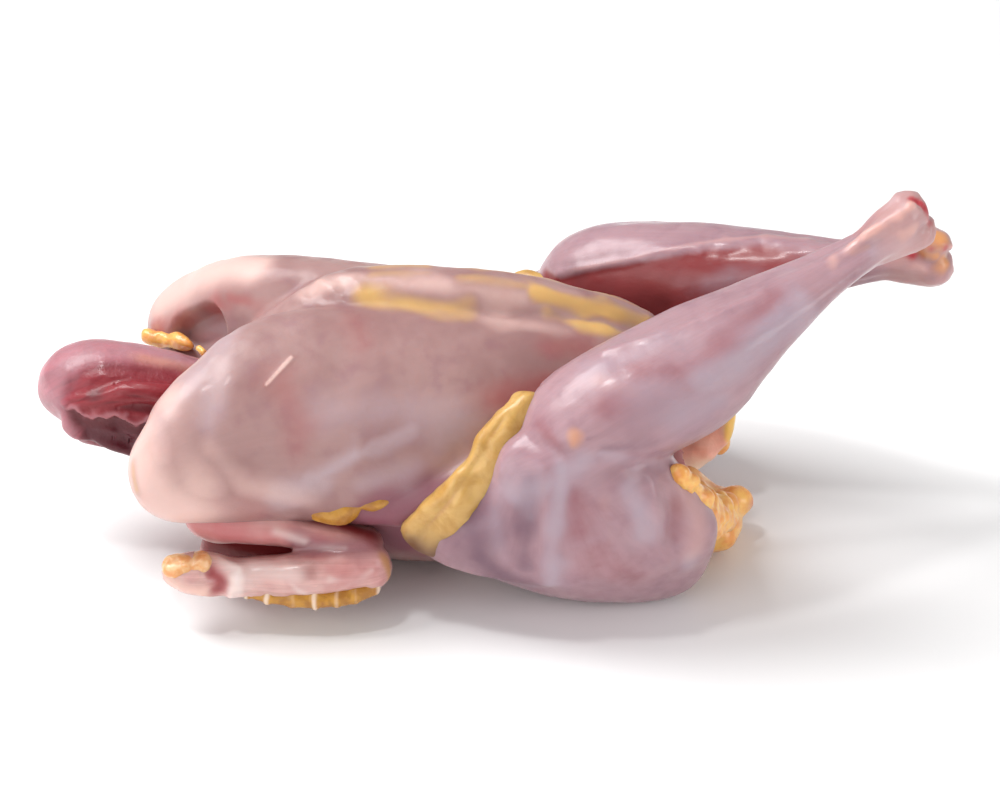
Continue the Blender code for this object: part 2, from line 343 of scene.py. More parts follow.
def add(tree, kind, links=None, **settings):
    """Adds a node. settings are its own properties; links gives its sockets a value or a link."""
    node = tree.nodes.new(kind)
    for name, value in settings.items():
        setattr(node, name, value)
    for socket, value in (links or {}).items():
        if isinstance(value, bpy.types.NodeSocket):
            tree.links.new(value, node.inputs[socket])
        else:
            node.inputs[socket].default_value = value
    return node


print("mid grey 808080 is linear", round(linear("808080")[0], 3))

# %% [markdown]
# ## Wet flesh
# Skinned poultry is muscle under a thin, wet, bluish-white membrane. The light goes a few
# millimetres in and comes back redder, which is subsurface scattering, and the wet film on
# top gives small sharp highlights over a softer gloss. Water has an IOR of 1.33 and muscle
# about 1.38. All the flesh is one recipe with different colours: a mottled base, the fibres,
# and then one layer for each painted attribute, its edge broken up by noise so that no
# border looks drawn.

# %% The flesh recipe
FIBRE_WIDTH = 0.9    # mm between the fibre bundles that the membrane lets show
MOTTLE_SIZES = (24.0, 6.0)    # mm across the large and small patches of colour

# What each painted attribute stands for, its usual colour, and how soft its border is
LAYERS = {
    "blush": ("b8686a", 0.50),    # blood close under the membrane, and painted shade at a few creases and rims
    "violet": ("7d4a5c", 0.45),    # dark muscle seen through a thin place
    "milk": ("cbb9c4", 0.50),    # a thicker, bluish-white membrane, and a few painted highlights
    "fat": ("dba75a", 0.38),    # yellow fat under or on the membrane
    "bone": ("e6cdb8", 0.30),    # cartilage, tendon and bone ends, and painted light on sides turned from the lamps
    "blood": ("a8333a", 0.25),    # a drop or clot of blood
    "shade": ("4a1c1e", 0.45),    # painted shade: the dark of folds, creases and hollows
}


def flesh_material(name, pale, deep, mottle, roughness=0.36, scatter=0.30, fibres=0.12, bump=0.5,
                   film=0.38, **colours):
    """Wet flesh: pale and deep are the two base tones, mottle a third one in small patches, film
    the strength of the wet coat, and colours changes the usual colour of a layer."""
    material = bpy.data.materials.new(name)
    material.use_nodes = True
    tree = material.node_tree
    shader = tree.nodes["Principled BSDF"]
    place = add(tree, "ShaderNodeTexCoord").outputs["Object"]

    large = add(tree, "ShaderNodeTexNoise", {
        "Vector": place, "Scale": 1 / (MOTTLE_SIZES[0] * MM), "Detail": 3.0, "Roughness": 0.55})
    small = add(tree, "ShaderNodeTexNoise", {
        "Vector": place, "Scale": 1 / (MOTTLE_SIZES[1] * MM), "Detail": 3.0, "Roughness": 0.5,
        "Distortion": 0.2})
    two_tone = add(tree, "ShaderNodeMapRange", {
        "Value": large.outputs["Fac"], "From Min": 0.34, "From Max": 0.66},
        interpolation_type="SMOOTHSTEP")
    base = add(tree, "ShaderNodeMix", {
        0: two_tone.outputs["Result"], 6: linear(pale), 7: linear(deep)}, data_type="RGBA")
    patches = add(tree, "ShaderNodeMapRange", {
        "Value": small.outputs["Fac"], "From Min": 0.45, "From Max": 0.85, "To Max": 0.45},
        interpolation_type="SMOOTHSTEP")
    colour = add(tree, "ShaderNodeMix", {
        0: patches.outputs["Result"], 6: base.outputs[2], 7: linear(mottle)}, data_type="RGBA")

    grain = add(tree, "ShaderNodeAttribute", attribute_name="grain")
    stretched = add(tree, "ShaderNodeMapping", {
        "Vector": grain.outputs["Vector"],
        "Scale": (0.05 / FIBRE_WIDTH, 1 / FIBRE_WIDTH, 0.4 / FIBRE_WIDTH)})
    strands = add(tree, "ShaderNodeTexNoise", {
        "Vector": stretched.outputs["Vector"], "Scale": 0.5, "Detail": 3.0, "Roughness": 0.6})
    streaks = add(tree, "ShaderNodeMapRange", {
        "Value": strands.outputs["Fac"], "From Min": 0.35, "From Max": 0.70,
        "To Min": -fibres, "To Max": fibres})
    level = add(tree, "ShaderNodeMath", {0: streaks.outputs["Result"], 1: 1.0}, operation="ADD")
    colour = add(tree, "ShaderNodeVectorMath", {
        0: colour.outputs[2], "Scale": level.outputs["Value"]}, operation="SCALE")
    colour = colour.outputs["Vector"]

    # The noise adds a quarter of the border on average, so both ends of the ramp move up by that
    for layer, (usual, border) in LAYERS.items():
        amount = add(tree, "ShaderNodeAttribute", attribute_name=layer)
        broken = add(tree, "ShaderNodeMath", {
            0: small.outputs["Fac"], 1: 0.5 * border, 2: amount.outputs["Fac"]},
            operation="MULTIPLY_ADD")
        edge = add(tree, "ShaderNodeMapRange", {
            "Value": broken.outputs["Value"], "From Min": 0.5 - border + 0.25 * border,
            "From Max": 0.5 + border + 0.25 * border},
            interpolation_type="SMOOTHSTEP")
        mixed = add(tree, "ShaderNodeMix", {
            0: edge.outputs["Result"], 6: colour, 7: linear(colours.get(layer, usual))},
            data_type="RGBA")
        colour = mixed.outputs[2]
    tree.links.new(colour, shader.inputs["Base Color"])

    fine = add(tree, "ShaderNodeTexNoise", {
        "Vector": place, "Scale": 1 / (1.8 * MM), "Detail": 3.0, "Roughness": 0.6})
    height = add(tree, "ShaderNodeMath", {
        0: strands.outputs["Fac"], 1: 0.6, 2: fine.outputs["Fac"]}, operation="MULTIPLY_ADD")
    relief = add(tree, "ShaderNodeBump", {
        "Height": height.outputs["Value"], "Strength": bump, "Distance": 0.25 * MM})
    tree.links.new(relief.outputs["Normal"], shader.inputs["Normal"])
    wet = add(tree, "ShaderNodeMapRange", {
        "Value": small.outputs["Fac"], "From Min": 0.3, "From Max": 0.7,
        "To Min": roughness - 0.08, "To Max": roughness + 0.10})
    tree.links.new(wet.outputs["Result"], shader.inputs["Roughness"])

    shader.inputs["IOR"].default_value = 1.38
    shader.inputs["Subsurface Weight"].default_value = scatter
    shader.inputs["Subsurface Radius"].default_value = (1.0, 0.42, 0.30)
    shader.inputs["Subsurface Scale"].default_value = 3.5 * MM
    shader.inputs["Coat Weight"].default_value = film
    shader.inputs["Coat Roughness"].default_value = 0.15
    shader.inputs["Coat IOR"].default_value = 1.34
    return material


# Breast: pale muscle, thin clear membrane, so it looks pink-beige and faintly mottled
BREAST = flesh_material(
    "breast_muscle_under_membrane", "a68380", "946e6c", "8a606a", roughness=0.42, film=0.20,
    fibres=0.03, bump=0.35, violet="85505c", fat="d0a668", milk="b8a4aa", blush="a25a58",
    bone="dab6ae")
# Leg: darker muscle under a thicker membrane, which turns it lilac
LEG = flesh_material(
    "leg_muscle_under_membrane", "aa878e", "a07b84", "8d6a75", fibres=0.05, bump=0.35,
    violet="6f4f5e", blush="8c383a", milk="b2a2ae", bone="d2a49c", fat="dc9a62", blood="b8424a")
# Neck: cut and stretched muscle with little membrane, so it is the reddest and wettest
NECK = flesh_material(
    "cut_neck_muscle", "9e545e", "843a46", "6c2a36", roughness=0.42, film=0.28, fibres=0.30,
    bump=0.9, violet="5c161f", shade="4e1220", milk="cc9ea6", blush="861f28", fat="d09070")
# Wing: thin muscle, pink, with the brown of the sinews showing
WING = flesh_material(
    "wing_muscle_under_membrane", "d4aca6", "c08a86", "a86c6a", fibres=0.12, milk="e2cfca",
    violet="8a5560", shade="7a2022", fat="c08a58", bone="e2bcae")
# Belly wall: a thin cut sheet of muscle, coral red, pale where the membrane holds; its colours are
# also painted light, set lighter so that it reads lit inside the legs' shade
WALL = flesh_material(
    "cut_belly_wall", "ffd2c4", "fabcaa", "ee9c88", fat="f0c266", milk="f0dcc8", blush="ffa890")
print("flesh materials:", [m.name for m in (BREAST, LEG, NECK, WING, WALL)])

# %% [markdown]
# ## Fat and cartilage
# Chicken fat is yellow from the feed, soft, greasy rather than wet, and it glows a little.
# Cartilage is smoother, paler and more translucent. Both are made from the same few nodes: two
# tones in soft lobules, and a fine bump.

# %% Fat and cartilage recipe


def soft_tissue(name, pale, deep, spots, lobule, roughness, scatter):
    """Fat or cartilage: two tones in lobules lobule mm across, with thin spots of a third."""
    material = bpy.data.materials.new(name)
    material.use_nodes = True
    tree = material.node_tree
    shader = tree.nodes["Principled BSDF"]
    place = add(tree, "ShaderNodeTexCoord").outputs["Object"]
    cells = add(tree, "ShaderNodeTexNoise", {
        "Vector": place, "Scale": 1 / (lobule * MM), "Detail": 4.0, "Roughness": 0.55,
        "Distortion": 0.3})
    tone = add(tree, "ShaderNodeMapRange", {
        "Value": cells.outputs["Fac"], "From Min": 0.35, "From Max": 0.65},
        interpolation_type="SMOOTHSTEP")
    base = add(tree, "ShaderNodeMix", {
        0: tone.outputs["Result"], 6: linear(pale), 7: linear(deep)}, data_type="RGBA")
    veins = add(tree, "ShaderNodeTexNoise", {
        "Vector": place, "Scale": 1 / (2.2 * lobule * MM), "Detail": 5.0, "Roughness": 0.65})
    spotted = add(tree, "ShaderNodeMapRange", {
        "Value": veins.outputs["Fac"], "From Min": 0.56, "From Max": 0.70, "To Max": 0.7},
        interpolation_type="SMOOTHSTEP")
    colour = add(tree, "ShaderNodeMix", {
        0: spotted.outputs["Result"], 6: base.outputs[2], 7: linear(spots)}, data_type="RGBA")
    for layer in ("bone", "blush", "blood", "shade"):
        amount = add(tree, "ShaderNodeAttribute", attribute_name=layer)
        edge = add(tree, "ShaderNodeMapRange", {
            "Value": amount.outputs["Fac"], "From Min": 0.25, "From Max": 0.85},
            interpolation_type="SMOOTHSTEP")
        colour = add(tree, "ShaderNodeMix", {
            0: edge.outputs["Result"], 6: colour.outputs[2], 7: linear(LAYERS[layer][0])},
            data_type="RGBA")
    tree.links.new(colour.outputs[2], shader.inputs["Base Color"])
    relief = add(tree, "ShaderNodeBump", {
        "Height": cells.outputs["Fac"], "Strength": 0.5, "Distance": 0.5 * MM})
    tree.links.new(relief.outputs["Normal"], shader.inputs["Normal"])
    shader.inputs["Roughness"].default_value = roughness
    shader.inputs["IOR"].default_value = 1.45
    shader.inputs["Subsurface Weight"].default_value = scatter
    shader.inputs["Subsurface Radius"].default_value = (1.0, 0.6, 0.25)
    shader.inputs["Subsurface Scale"].default_value = 3.0 * MM
    shader.inputs["Coat Weight"].default_value = 0.35
    shader.inputs["Coat Roughness"].default_value = 0.25
    return material


FAT = soft_tissue("yellow_poultry_fat", "cca25c", "b98b42", "9a6e34", 7.0, 0.42, 0.35)
DEEP_FAT = soft_tissue("deep_yellow_fat", "c08a2e", "a46c1e", "94561e", 4.0, 0.40, 0.30)
TAIL_FAT = soft_tissue("orange_tail_fat", "f2bd68", "e89c50", "dc8450", 4.0, 0.32, 0.35)
CARTILAGE = soft_tissue("joint_cartilage", "e6bb8c", "da985e", "cf7a50", 2.5, 0.30, 0.40)
print("soft tissues:", [m.name for m in (FAT, DEEP_FAT, TAIL_FAT, CARTILAGE)])

# %% [markdown]
# ## Finishing a piece
# Each finished piece is shaded smooth, gets its material and rides on the one body of the
# model. Its attributes are filled with zeros where nothing was painted. No point may lie below
# the table, so those are pressed flat onto it, as the bird's own weight does. Each piece prints
# its name and size when it is finished.

# %% Finish


def finish(thing, material, **painted):
    """Centres the piece, stores its painted tables and gives it its material and body."""
    points = points_of(thing)
    points[:, 2] = np.maximum(points[:, 2], 0.0)
    set_points(thing, points + CENTRING)
    blank = np.zeros(len(points))
    painted.setdefault("grain", points)
    store(thing, **{layer: painted.get(layer, blank) for layer in LAYERS}, grain=painted["grain"])
    thing.data.materials.clear()
    thing.data.materials.append(material)
    thing.data.shade_smooth()
    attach(thing, "root")
    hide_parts("chicken")
    print(f"{thing.name}: {len(points)} points, {np.ptp(points[:, 0]):.0f} mm long in x")


# %% [markdown]
# ## The trunk: ribs, two breasts and the keel
# The largest piece. Each breast muscle starts thin at the shoulder, rises over the wishbone
# and tapers back along the keel, the ridge of the breastbone. Under the belly end is the
# opening the bird was drawn through, with a hollow behind it.

# %% Trunk shapes


def ribs():
    rows = [
        (-92, 0, 40, 22, 22, 16, 18), (-70, 0, 38, 36, 36, 26, 34),
        (-35, 0, 36, 42, 42, 34, 38), (5, 0, 35, 42, 42, 34, 38), (34, 0, 33, 38, 38, 28, 35),
        (48, 0, 29, 27, 27, 24, 26), (58, 1, 27, 20, 18, 19, 20),
    ]
    return lofted(rows, caps=(16, 5), sides=64)


def breast(side):
    rows = [
        (SHOULDER_X[side], -45, 49, 16, 11, 15, 12), (-99, -44, 49, 20, 14, 19, 16),
        (-82, -39, 51, 23, 17, 29, 21), (-60, -32, 54, 26, 18, 37, 26),
        (-30, -28, 55, 26, 17, 36, 24), (0, -23, 57, 23, 15, 31, 22),
        (26, -16, 62, 17, 12, 21, 19), (48, -8, 67, 8, 7, 10, 11),
    ]
    rolls = smooth_rows([[12], [16], [26], [34], [37], [38], [38], [38]], 90)
    return on_side(rolled(lofted(rows, caps=(14, 12), rings=90, sides=64), rows, rolls), side)


def rolled(tube, rows, rolls):
    """Turns each section of a tube about its path by the roll given for it, in degrees."""
    path = smooth_rows(rows, len(tube))[:, :3]
    along = unit(np.gradient(path, axis=0))[:, None]
    turn = np.radians(rolls)[:, :, None]
    off = tube - path[:, None]
    return path[:, None] + off * np.cos(turn) - np.cross(along, off) * np.sin(turn)


def keel():
    top = KEEL_HEIGHT
    rows = [
        (-80, 0, top - 34, 7, 7, 9, 12), (-67, 0, top - 25, 9, 9, 10, 16),
        (-50, 0, top - 13, 11, 11, 10, 20), (-30, 0, top - 12, 11, 11, 12, 22),
        (0, 0, top - 13, 9, 9, 11, 22), (30, 0, top - 20, 7, 7, 10, 20),
        (44, 0, top - 26, 6, 6, 9, 16), (57, 0, top - 33, 5, 5, 7, 10),
    ]
    return lofted(rows, caps=(8, 8), sides=32)


def drawn_hollow():
    """The space the bird was drawn through: an oval mouth that widens a little inside."""
    width, height = 19, 14
    rows = [
        (95, 0, 41, width, width, height + 6, height),
        (74, 0, 40, width, width, height + 3, height),
        (58, 0, 37, width, width, height, height),
        (36, 0, 37, width + 5, width + 5, height + 4, height + 3),
        (10, 0, 38, width + 5, width + 5, height + 6, height + 4),
        (-25, 0, 39, width, width, height, height),
    ]
    return lofted(rows, caps=(0.5, 20), sides=40)


def flank(side):
    """The thin muscle that shows between the breast, the fat strip and the wing."""
    rows = [
        (-50, -38, 34, 7, 7, 6, 6), (-36, -41, 36, 8, 7, 7, 7), (-22, -44, 39, 8, 7, 7, 9),
        (-10, -45, 46, 7, 6, 6, 7), (0, -43, 52, 5, 5, 5, 6),
    ]
    return on_side(lofted(rows, caps=(8, 6), sides=40), side)


HOLLOW = tubes_object("drawn_hollow", [drawn_hollow()])
paired = [make(side) for make in (breast, flank) for side in (RIGHT, LEFT)]
trunk = tubes_object("trunk", [ribs(), keel()] + paired)
remeshed(trunk, 0.95, 10, HOLLOW)
print("trunk:", len(trunk.data.vertices), "points before the relief")

# %% [markdown]
# ## What is seen on the trunk
# The lines below were placed on the surface one by one: the yellow fat along both sides of the
# keel, the tight white membrane where the breasts meet the wishbone, a bluish sheet of
# membrane that crosses each breast, the dark thin flank under it, and painted shade along the
# edge that the drumstick lies on.

# %% Trunk marks
KEEL_FAT = [
    ([(-39, -8, 87.5), (-25, -10, 85.5), (-10, -12, 84.5)], 4.8, 0.78),
    ([(10, -4, 86.5), (28, -4, 82), (44, -4, 77)], 3.0, 0.88),
    ([(15, -9, 83.5), (30, -11, 77.5), (42, -11, 72)], 3.0, 0.88),
    ([(-38, 2, 92), (-22, 2, 92)], 2.6, 0.55),
    ([(-12, 3, 91), (8, 4, 89), (18, 4, 87)], 3.0, 0.60),
]
# The first two marks are the pale keel. The others, on the front of both breasts, are a paler
# membrane and also painted light that lifts sides turned from the lamps
KEEL_PALE_AND_PAINTED_LIGHT = [
    ([(-56, -2, 89), (-42, -4, 91), (-26, -5, 90), (-4, -5, 88), (22, -5, 84)], 7.0, 0.76),
    ([(-10, -12, 83), (8, -13, 80), (26, -13, 75)], 4.5, 0.65),
    ([(-107, -44, 62), (-105, -53, 50), (-94, -57, 42)], 15.0, 1.0),
    ([(-96, -40, 70), (-94, -48, 60), (-88, -54, 50)], 10.0, 0.85),
    ([(-84, -51, 60), (-74, -55, 50), (-56, -55, 44)], 8.0, 0.62),
    ([(-100, -38, 68), (-90, -26, 78)], 8.0, 0.55),
    ([(-106, 40, 62), (-92, 34, 74), (-76, 20, 83)], 13.0, 1.0),
]
BREAST_MILK = [
    ([(-64, -54, 47), (-52, -52, 50)], 5.0, 0.55),
    ([(-56, -52, 50), (-42, -48, 57)], 3.6, 0.62),
    ([(-44, -49, 56), (-26, -43, 62)], 2.8, 0.5),
    ([(-40, -51, 48), (-24, -49, 52)], 5.0, 0.45),
    ([(-82, -34, 79), (-85, -48, 69)], 5.0, 0.42),
    ([(-100, -45, 63), (-92, -40, 73), (-80, -22, 82)], 5.0, 0.55),
    ([(-50, -42, 68), (-32, -40, 68), (-15, -40, 64)], 9.0, 0.42),
]
# Blood close under the membrane. The fourth and fifth marks are painted shade, where the drumstick
# lies over the breast
BREAST_BLUSH_AND_SHADE = [
    ([(-83, 15, 75), (-76, 8, 77), (-66, 3, 82)], 2.6, 0.6),
    ([(-100, 20, 62), (-92, 16, 66)], 8.0, 0.55),
    ([(12, -4, 86), (36, -5, 79)], 1.6, 0.6),
    ([(15, -20, 77), (26, -18, 76)], 6.0, 0.5),
    ([(14, -31, 70), (2, -36, 70)], 6.5, 0.85),
    ([(-64, -38, 75), (-58, -45, 66)], 7.0, 0.42),
    ([(-88, -54, 45), (-72, -53, 42)], 6.0, 0.4),
    ([(-44, -18, 85), (-40, -26, 82)], 5.0, 0.35),
]
FLANK_VIOLET = [
    ([(-40, -48, 34), (-28, -51, 38), (-17, -53, 45), (-10, -53, 54)], 7.0, 0.95),
    ([(-48, -44, 27), (-28, -45, 27)], 7.0, 0.85),
    ([(-36, -42, 20), (-14, -43, 17)], 9.0, 1.0),
]
WALL_MILK = [([(-99, 19, 57), (-91, 15, 61)], 6.5, 0.50)]
# A red tint at the top rim of the hollow beside the neck, partly painted shade under its overhang
WALL_BLUSH_AND_SHADE = [
    ([(-110, 31, 56), (-104, 26, 64), (-97, 22, 68), (-88, 17, 69)], 3.4, 1.2),
    ([(-102, 22, 56), (-92, 17, 57)], 3.0, 0.8),
]
FRONT_FAT = [
    ([(-108, -50, 55), (-106, -53, 48)], 3.0, 0.55),
    ([(-114, 36, 52), (-110, 32, 56)], 3.4, 0.8),
]
RECESS_SHADE = [
    ([(-58, -45, 32), (-42, -44, 29)], 4.5, 1.0),
    ([(-88, -34, 22), (-60, -38, 22)], 9.0, 0.9),
]
TRUNK_MARKS = (KEEL_FAT, KEEL_PALE_AND_PAINTED_LIGHT, BREAST_MILK, BREAST_BLUSH_AND_SHADE, FLANK_VIOLET, WALL_MILK,
               WALL_BLUSH_AND_SHADE, FRONT_FAT, RECESS_SHADE)
print("marks on the trunk:", sum(map(len, TRUNK_MARKS)))

# %% [markdown]
# The marks are drawn for the right breast. Most of them are used on both sides, a few on one
# side only, because the photo shows them there.

# %% Painting the trunk


def right(line):
    return on_side(line, RIGHT)


def left(line):
    return on_side(line, LEFT)


points = points_of(trunk)
outward = normals_of(trunk)
grain = np.where(points[:, 1:2] < 0, fanned(points, (-112, -46, 48), (0.1, -0.8, 0.6)),
                 fanned(points, (-114, 46, 48), (0.1, 0.8, 0.6)))
fat = np.maximum(strokes(points, KEEL_FAT, right), 0.8 * strokes(points, KEEL_FAT, left))
fat *= 0.9 + 0.3 * lumps(points * (0.5, 1, 1), 4, 15)
pale = strokes(points, KEEL_PALE_AND_PAINTED_LIGHT, right)
milk = np.maximum(strokes(points, BREAST_MILK, right), strokes(points, BREAST_MILK[:3], left))
# Blush, with painted shade beside the drumstick and under the top rim of the hollow
blush = np.maximum.reduce([
    strokes(points, BREAST_BLUSH_AND_SHADE, right), 0.8 * strokes(points, BREAST_BLUSH_AND_SHADE[1:], left),
    strokes(points, WALL_BLUSH_AND_SHADE, right)])
fat = np.maximum(fat, strokes(points, FRONT_FAT, right))
violet = np.maximum(strokes(points, FLANK_VIOLET, right), strokes(points, FLANK_VIOLET, left))
milk = np.maximum(milk, strokes(points, WALL_MILK, right))
shade = np.maximum(strokes(points, RECESS_SHADE, right), strokes(points, RECESS_SHADE, left))
print("share of the trunk under yellow fat:", round(float((fat > 0.5).mean()), 3))

# %% [markdown]
# The relief is worked out the same way. Broad lumps first, then the fat stands proud in small
# lobes, and the membrane over the wishbone is drawn into fine wrinkles: a sine across the
# wrinkles, bent by noise.

# %% Trunk relief


def wrinkles(points, across, pitch, seed):
    """Ridges at right angles to across, pitch mm apart: sin(2 pi (position + noise) / pitch)."""
    bend = 1.1 * pitch * lumps(points, 2.5 * pitch, seed)
    return np.sin(2 * np.pi * (points @ unit(np.array(across, float)) + bend) / pitch)


SCRATCH = [(-61, -32, 80.5), (-64, -35, 78), (-68, -39, 75)]
scratch = stroke(points, SCRATCH, 0.8)
tight = np.maximum(stroke(points, [(-58, -4, 88), (-46, -4, 90)], 6.0),
                   stroke(points, [(-84, -14, 80), (-72, -6, 83)], 5.0))
height = 0.55 * lumps(points, 26, 2) + 0.30 * lumps(points, 11, 3) + 0.10 * lumps(points, 4, 4)
height += fat * (0.6 + 0.8 * lumps(points * (0.6, 1, 1), 4.5, 5))
# A hollow 6.5 mm deep in the front of the left breast, beside the neck
cave = ramp(stroke(points, [(-99, 21, 58), (-91, 17, 63)], 9.5, 0.3, 13), 0.30, 0.75)
height -= 6.5 * cave
height += 0.55 * tight * (lumps(points, 3.2, 6) + 0.6 * wrinkles(points, (0.7, 0.9, 0), 5.5, 12))
height += 0.35 * scratch + 0.35 * milk
# Three creases: over the right shoulder, along the wishbone's left side, and at the keel's tip
height -= 0.35 * stroke(points, [(-81, -28, 82), (-84, -44, 73), (-86, -51, 64)], 2.6)
height -= 0.6 * stroke(points, [(-86, 13, 75), (-74, 8, 79), (-60, 4, 85)], 3.5)
height -= 0.9 * stroke(points, [(-57, -6, 87), (-58, 2, 88)], 2.0)
set_points(trunk, points + outward * height[:, None])
# bone holds the pale keel and scratch, and on the breasts' fronts also painted light
bone = np.maximum(0.9 * scratch, 0.8 * pale * (1 - 0.8 * fat))
# The oval test finds the inside of the hollow: (y / 26)^2 + ((z - 38) / 20)^2 below 1
oval = (points[:, 1] / 26) ** 2 + ((points[:, 2] - 38) / 20) ** 2
lining = ramp(oval, 1.1, 0.95) * ramp(points[:, 0], 57, 52) * ramp(points[:, 0], -32, -26)
blush = np.maximum.reduce([blush, 1.2 * lining, 0.7 * ramp(points[:, 0], 48, 54)])
shade = np.maximum(shade, lining * (0.45 + 0.25 * lumps(points, 9, 14)))
finish(trunk, BREAST, grain=grain, fat=fat, milk=milk, blush=blush, violet=violet, shade=shade,
       bone=bone)

# %% [markdown]
# ## The legs
# The thigh is a fan of muscle from the hip to the knee. The drumstick is the calf: a belly of
# muscle high up, which runs out into tendons over the bare shin bone, and the bone flares into
# two knobs at the ankle, where the foot was cut off.

# %% Leg shapes


def shin(side):
    """Where the shin bone starts, and the step from there to its end."""
    knee = np.array(KNEE[side])
    return knee, np.array(ANKLE[side]) - knee


def drumstick(side):
    knee, bone_step = shin(side)
    # Share of the bone, then the reach to the inner, outer, upper and lower sides
    girths = [
        (-0.07, 14, 14, 9, 16), (0.12, 17, 19, 16, 21), (0.36, 17, 19, 14, 24),
        (0.57, 13, 14, 9.5, 12.5), (0.73, 8.5, 9, 5.5, 7.5), (0.85, 6, 6.5, 5, 6),
        (0.97, 6, 6.5, 6, 6),
    ]
    rows = []
    for share, inner, outer, above, below in girths:
        sideways = (inner, outer) if side == RIGHT else (outer, inner)
        rows.append((*(knee + bone_step * share), *sideways, above * CALF_TOP[side], below))
    return lofted(rows, caps=(14, 6), rings=90, sides=56)


KNOB_OFFSET = 3.5    # mm from the line of the bone to the middle of each ankle knob


def ankle_knob(side, offset):
    """One of the two knobs of the shin bone, offset mm from its line at the end."""
    knee, bone_step = shin(side)
    across = unit(np.cross(bone_step, (0, 0, 1)))
    upward = unit(np.cross(across, bone_step))
    # Share of the bone, how far the knob has spread from its line, and its radius
    girths = ((0.80, 0.1, 4.5), (0.88, 0.6, 5.5), (0.95, 1.0, 6.2), (1.0, 1.1, 5.5))
    rows = []
    for share, spread, girth in girths:
        centre = knee + bone_step * share + upward * offset * spread
        rows.append((*centre, girth + 0.5, girth + 0.5, girth, girth))
    return lofted(rows, caps=(6, 7), rings=30, sides=32)


def thigh(side):
    rows = [
        (14, -48, 70, 10, 12, 13, 11), (16, -49, 58, 16, 15, 24, 19),
        (19, -48, 44, 22, 17, 36, 35), (20, -46, 31, 26, 17, 44, 46),
        (20, -41, 19, 26, 15, 43, 39), (16, -35, 2, 22, 9, 38, 24),
    ]
    return on_leg(lofted(rows, caps=(10, 16), up=(1, 0, 0), rings=70, sides=64), side)


for side in (RIGHT, LEFT):
    low, high = drumstick(side)[..., 2].min(), drumstick(side)[..., 2].max()
    print(f"{SIDE_NAME[side]} drumstick, z from {low:.0f} to {high:.0f} mm")

# %% [markdown]
# The membrane on a leg is the most visible thing about it: bluish-white along the shin and in
# a forked sheet down the thigh, thin and red in between. On the inner face of the calf a
# second muscle lies bare and dark under a pale, slightly raised border.

# %% Leg marks
LEG_MILK_AND_PAINTED_SHEEN = [
    ([(57, -52, 84), (69, -47, 88), (78, -41, 94), (86, -33, 99)], 6.0, 0.6),
    ([(43, -58, 80), (52, -56, 75), (63, -50, 77)], 8.0, 0.45),
    ([(18, -64, 62), (17, -64, 48), (15, -62, 34), (15, -59, 19)], 3.6, 0.66),
    ([(24, -64, 64), (16, -65, 57), (4, -61, 52)], 5.0, 0.55),
    ([(2, -60, 58), (-2, -61, 46), (0, -61, 34)], 5.0, 0.34),
    # A painted highlight: a pale sheen on the side of the thigh
    ([(37, -62, 54), (41, -62, 44), (42, -61, 38)], 4.5, 0.55),
    ([(56, -55, 26), (58, -53, 20)], 3.5, 0.55),
    ([(29, -63, 66), (40, -60, 61), (48, -54, 57)], 2.0, 0.45),
    ([(26, -47, 85), (34, -47, 88), (46, -43, 92)], 4.0, 0.35),
]
LEG_BLUSH = [
    ([(40, -50, 85), (52, -50, 86), (66, -44, 92), (80, -34, 100)], 4.0, 0.5),
    ([(30, -58, 79), (44, -58, 79)], 6.0, 0.42),
    ([(20, -64, 52), (23, -64, 40)], 7.0, 0.40),
    ([(52, -57, 46), (51, -58, 36)], 3.5, 0.40),
    ([(29, -63, 32), (40, -58, 18)], 8.0, 0.35),
    ([(10, -56, 72), (17, -62, 68)], 4.0, 0.4),
]
LEG_VIOLET = [
    ([(9, -62, 56), (7, -62, 42), (7, -61, 28)], 4.5, 0.68),
    ([(-8, -57, 42), (-5, -59, 28), (6, -60, 14)], 8.0, 0.75),
    ([(25, -63, 71), (28, -63, 72)], 1.0, 0.55),
    ([(72, -44, 92), (82, -36, 98)], 3.0, 0.45),
    ([(30, -63, 68), (44, -60, 66)], 3.5, 0.4),
]
LEG_PALE_AND_PAINTED_LIGHT = [
    # Paler back of the thigh, partly its own tone and partly painted light on a side turned from
    # the lamps
    ([(56, -54, 50), (58, -53, 40), (57, -54, 28)], 9.0, 0.47),
    ([(28, -52, 84), (38, -54, 81)], 5.0, 0.40),
    ([(30, -63, 50), (32, -62, 36)], 4.0, 0.36),
]
LEG_FAT = [([(21, -62, 71.5), (20.5, -64, 69)], 2.0, 0.52)]
# Folds push the surface: their last number is a height in mm, not a strength
LEG_FOLDS = [
    ([(9, -58, 68), (17, -62, 66), (29, -64, 65), (40, -60, 61), (48, -54, 57)], 2.6, -1.0),
    ([(20, -64, 52), (24, -64, 36)], 7.0, -1.4),
    ([(51, -58, 52), (51, -59, 36)], 3.5, -1.9),
    ([(44, -60, 56), (45, -60, 44), (47, -60, 32), (52, -57, 18)], 2.4, 1.1),
    ([(13, -63, 60), (12, -64, 37), (13, -59, 20)], 2.6, 0.7),
    ([(2, -55, 68), (1, -58, 58)], 4.5, 1.8),
    ([(30, -42, 88), (46, -41, 93), (62, -37, 97), (76, -31, 101)], 1.6, 0.7),
    ([(34, -48, 88), (56, -46, 91), (78, -37, 97)], 3.0, -0.6),
]
INNER_RIDGE = [
    (13, -37, 74),
    (22, -32, 79),
    (37, -28, 84),
    (56, -26, 90),
    (74, -25, 93),
    (88, -22, 93),
]
INNER_RED = [
    ([(14, -32, 70), (26, -25, 75), (40, -19, 79), (56, -18, 83), (72, -18, 88),
      (99, -16, 92)], 12.0, 1.0),
]
INNER_SHADE = [([(10, -30, 68), (24, -21, 71), (40, -15, 73)], 6.5, 0.95)]
INNER_MILK = [([(58, -17, 81), (74, -17, 85)], 5.0, 0.42)]
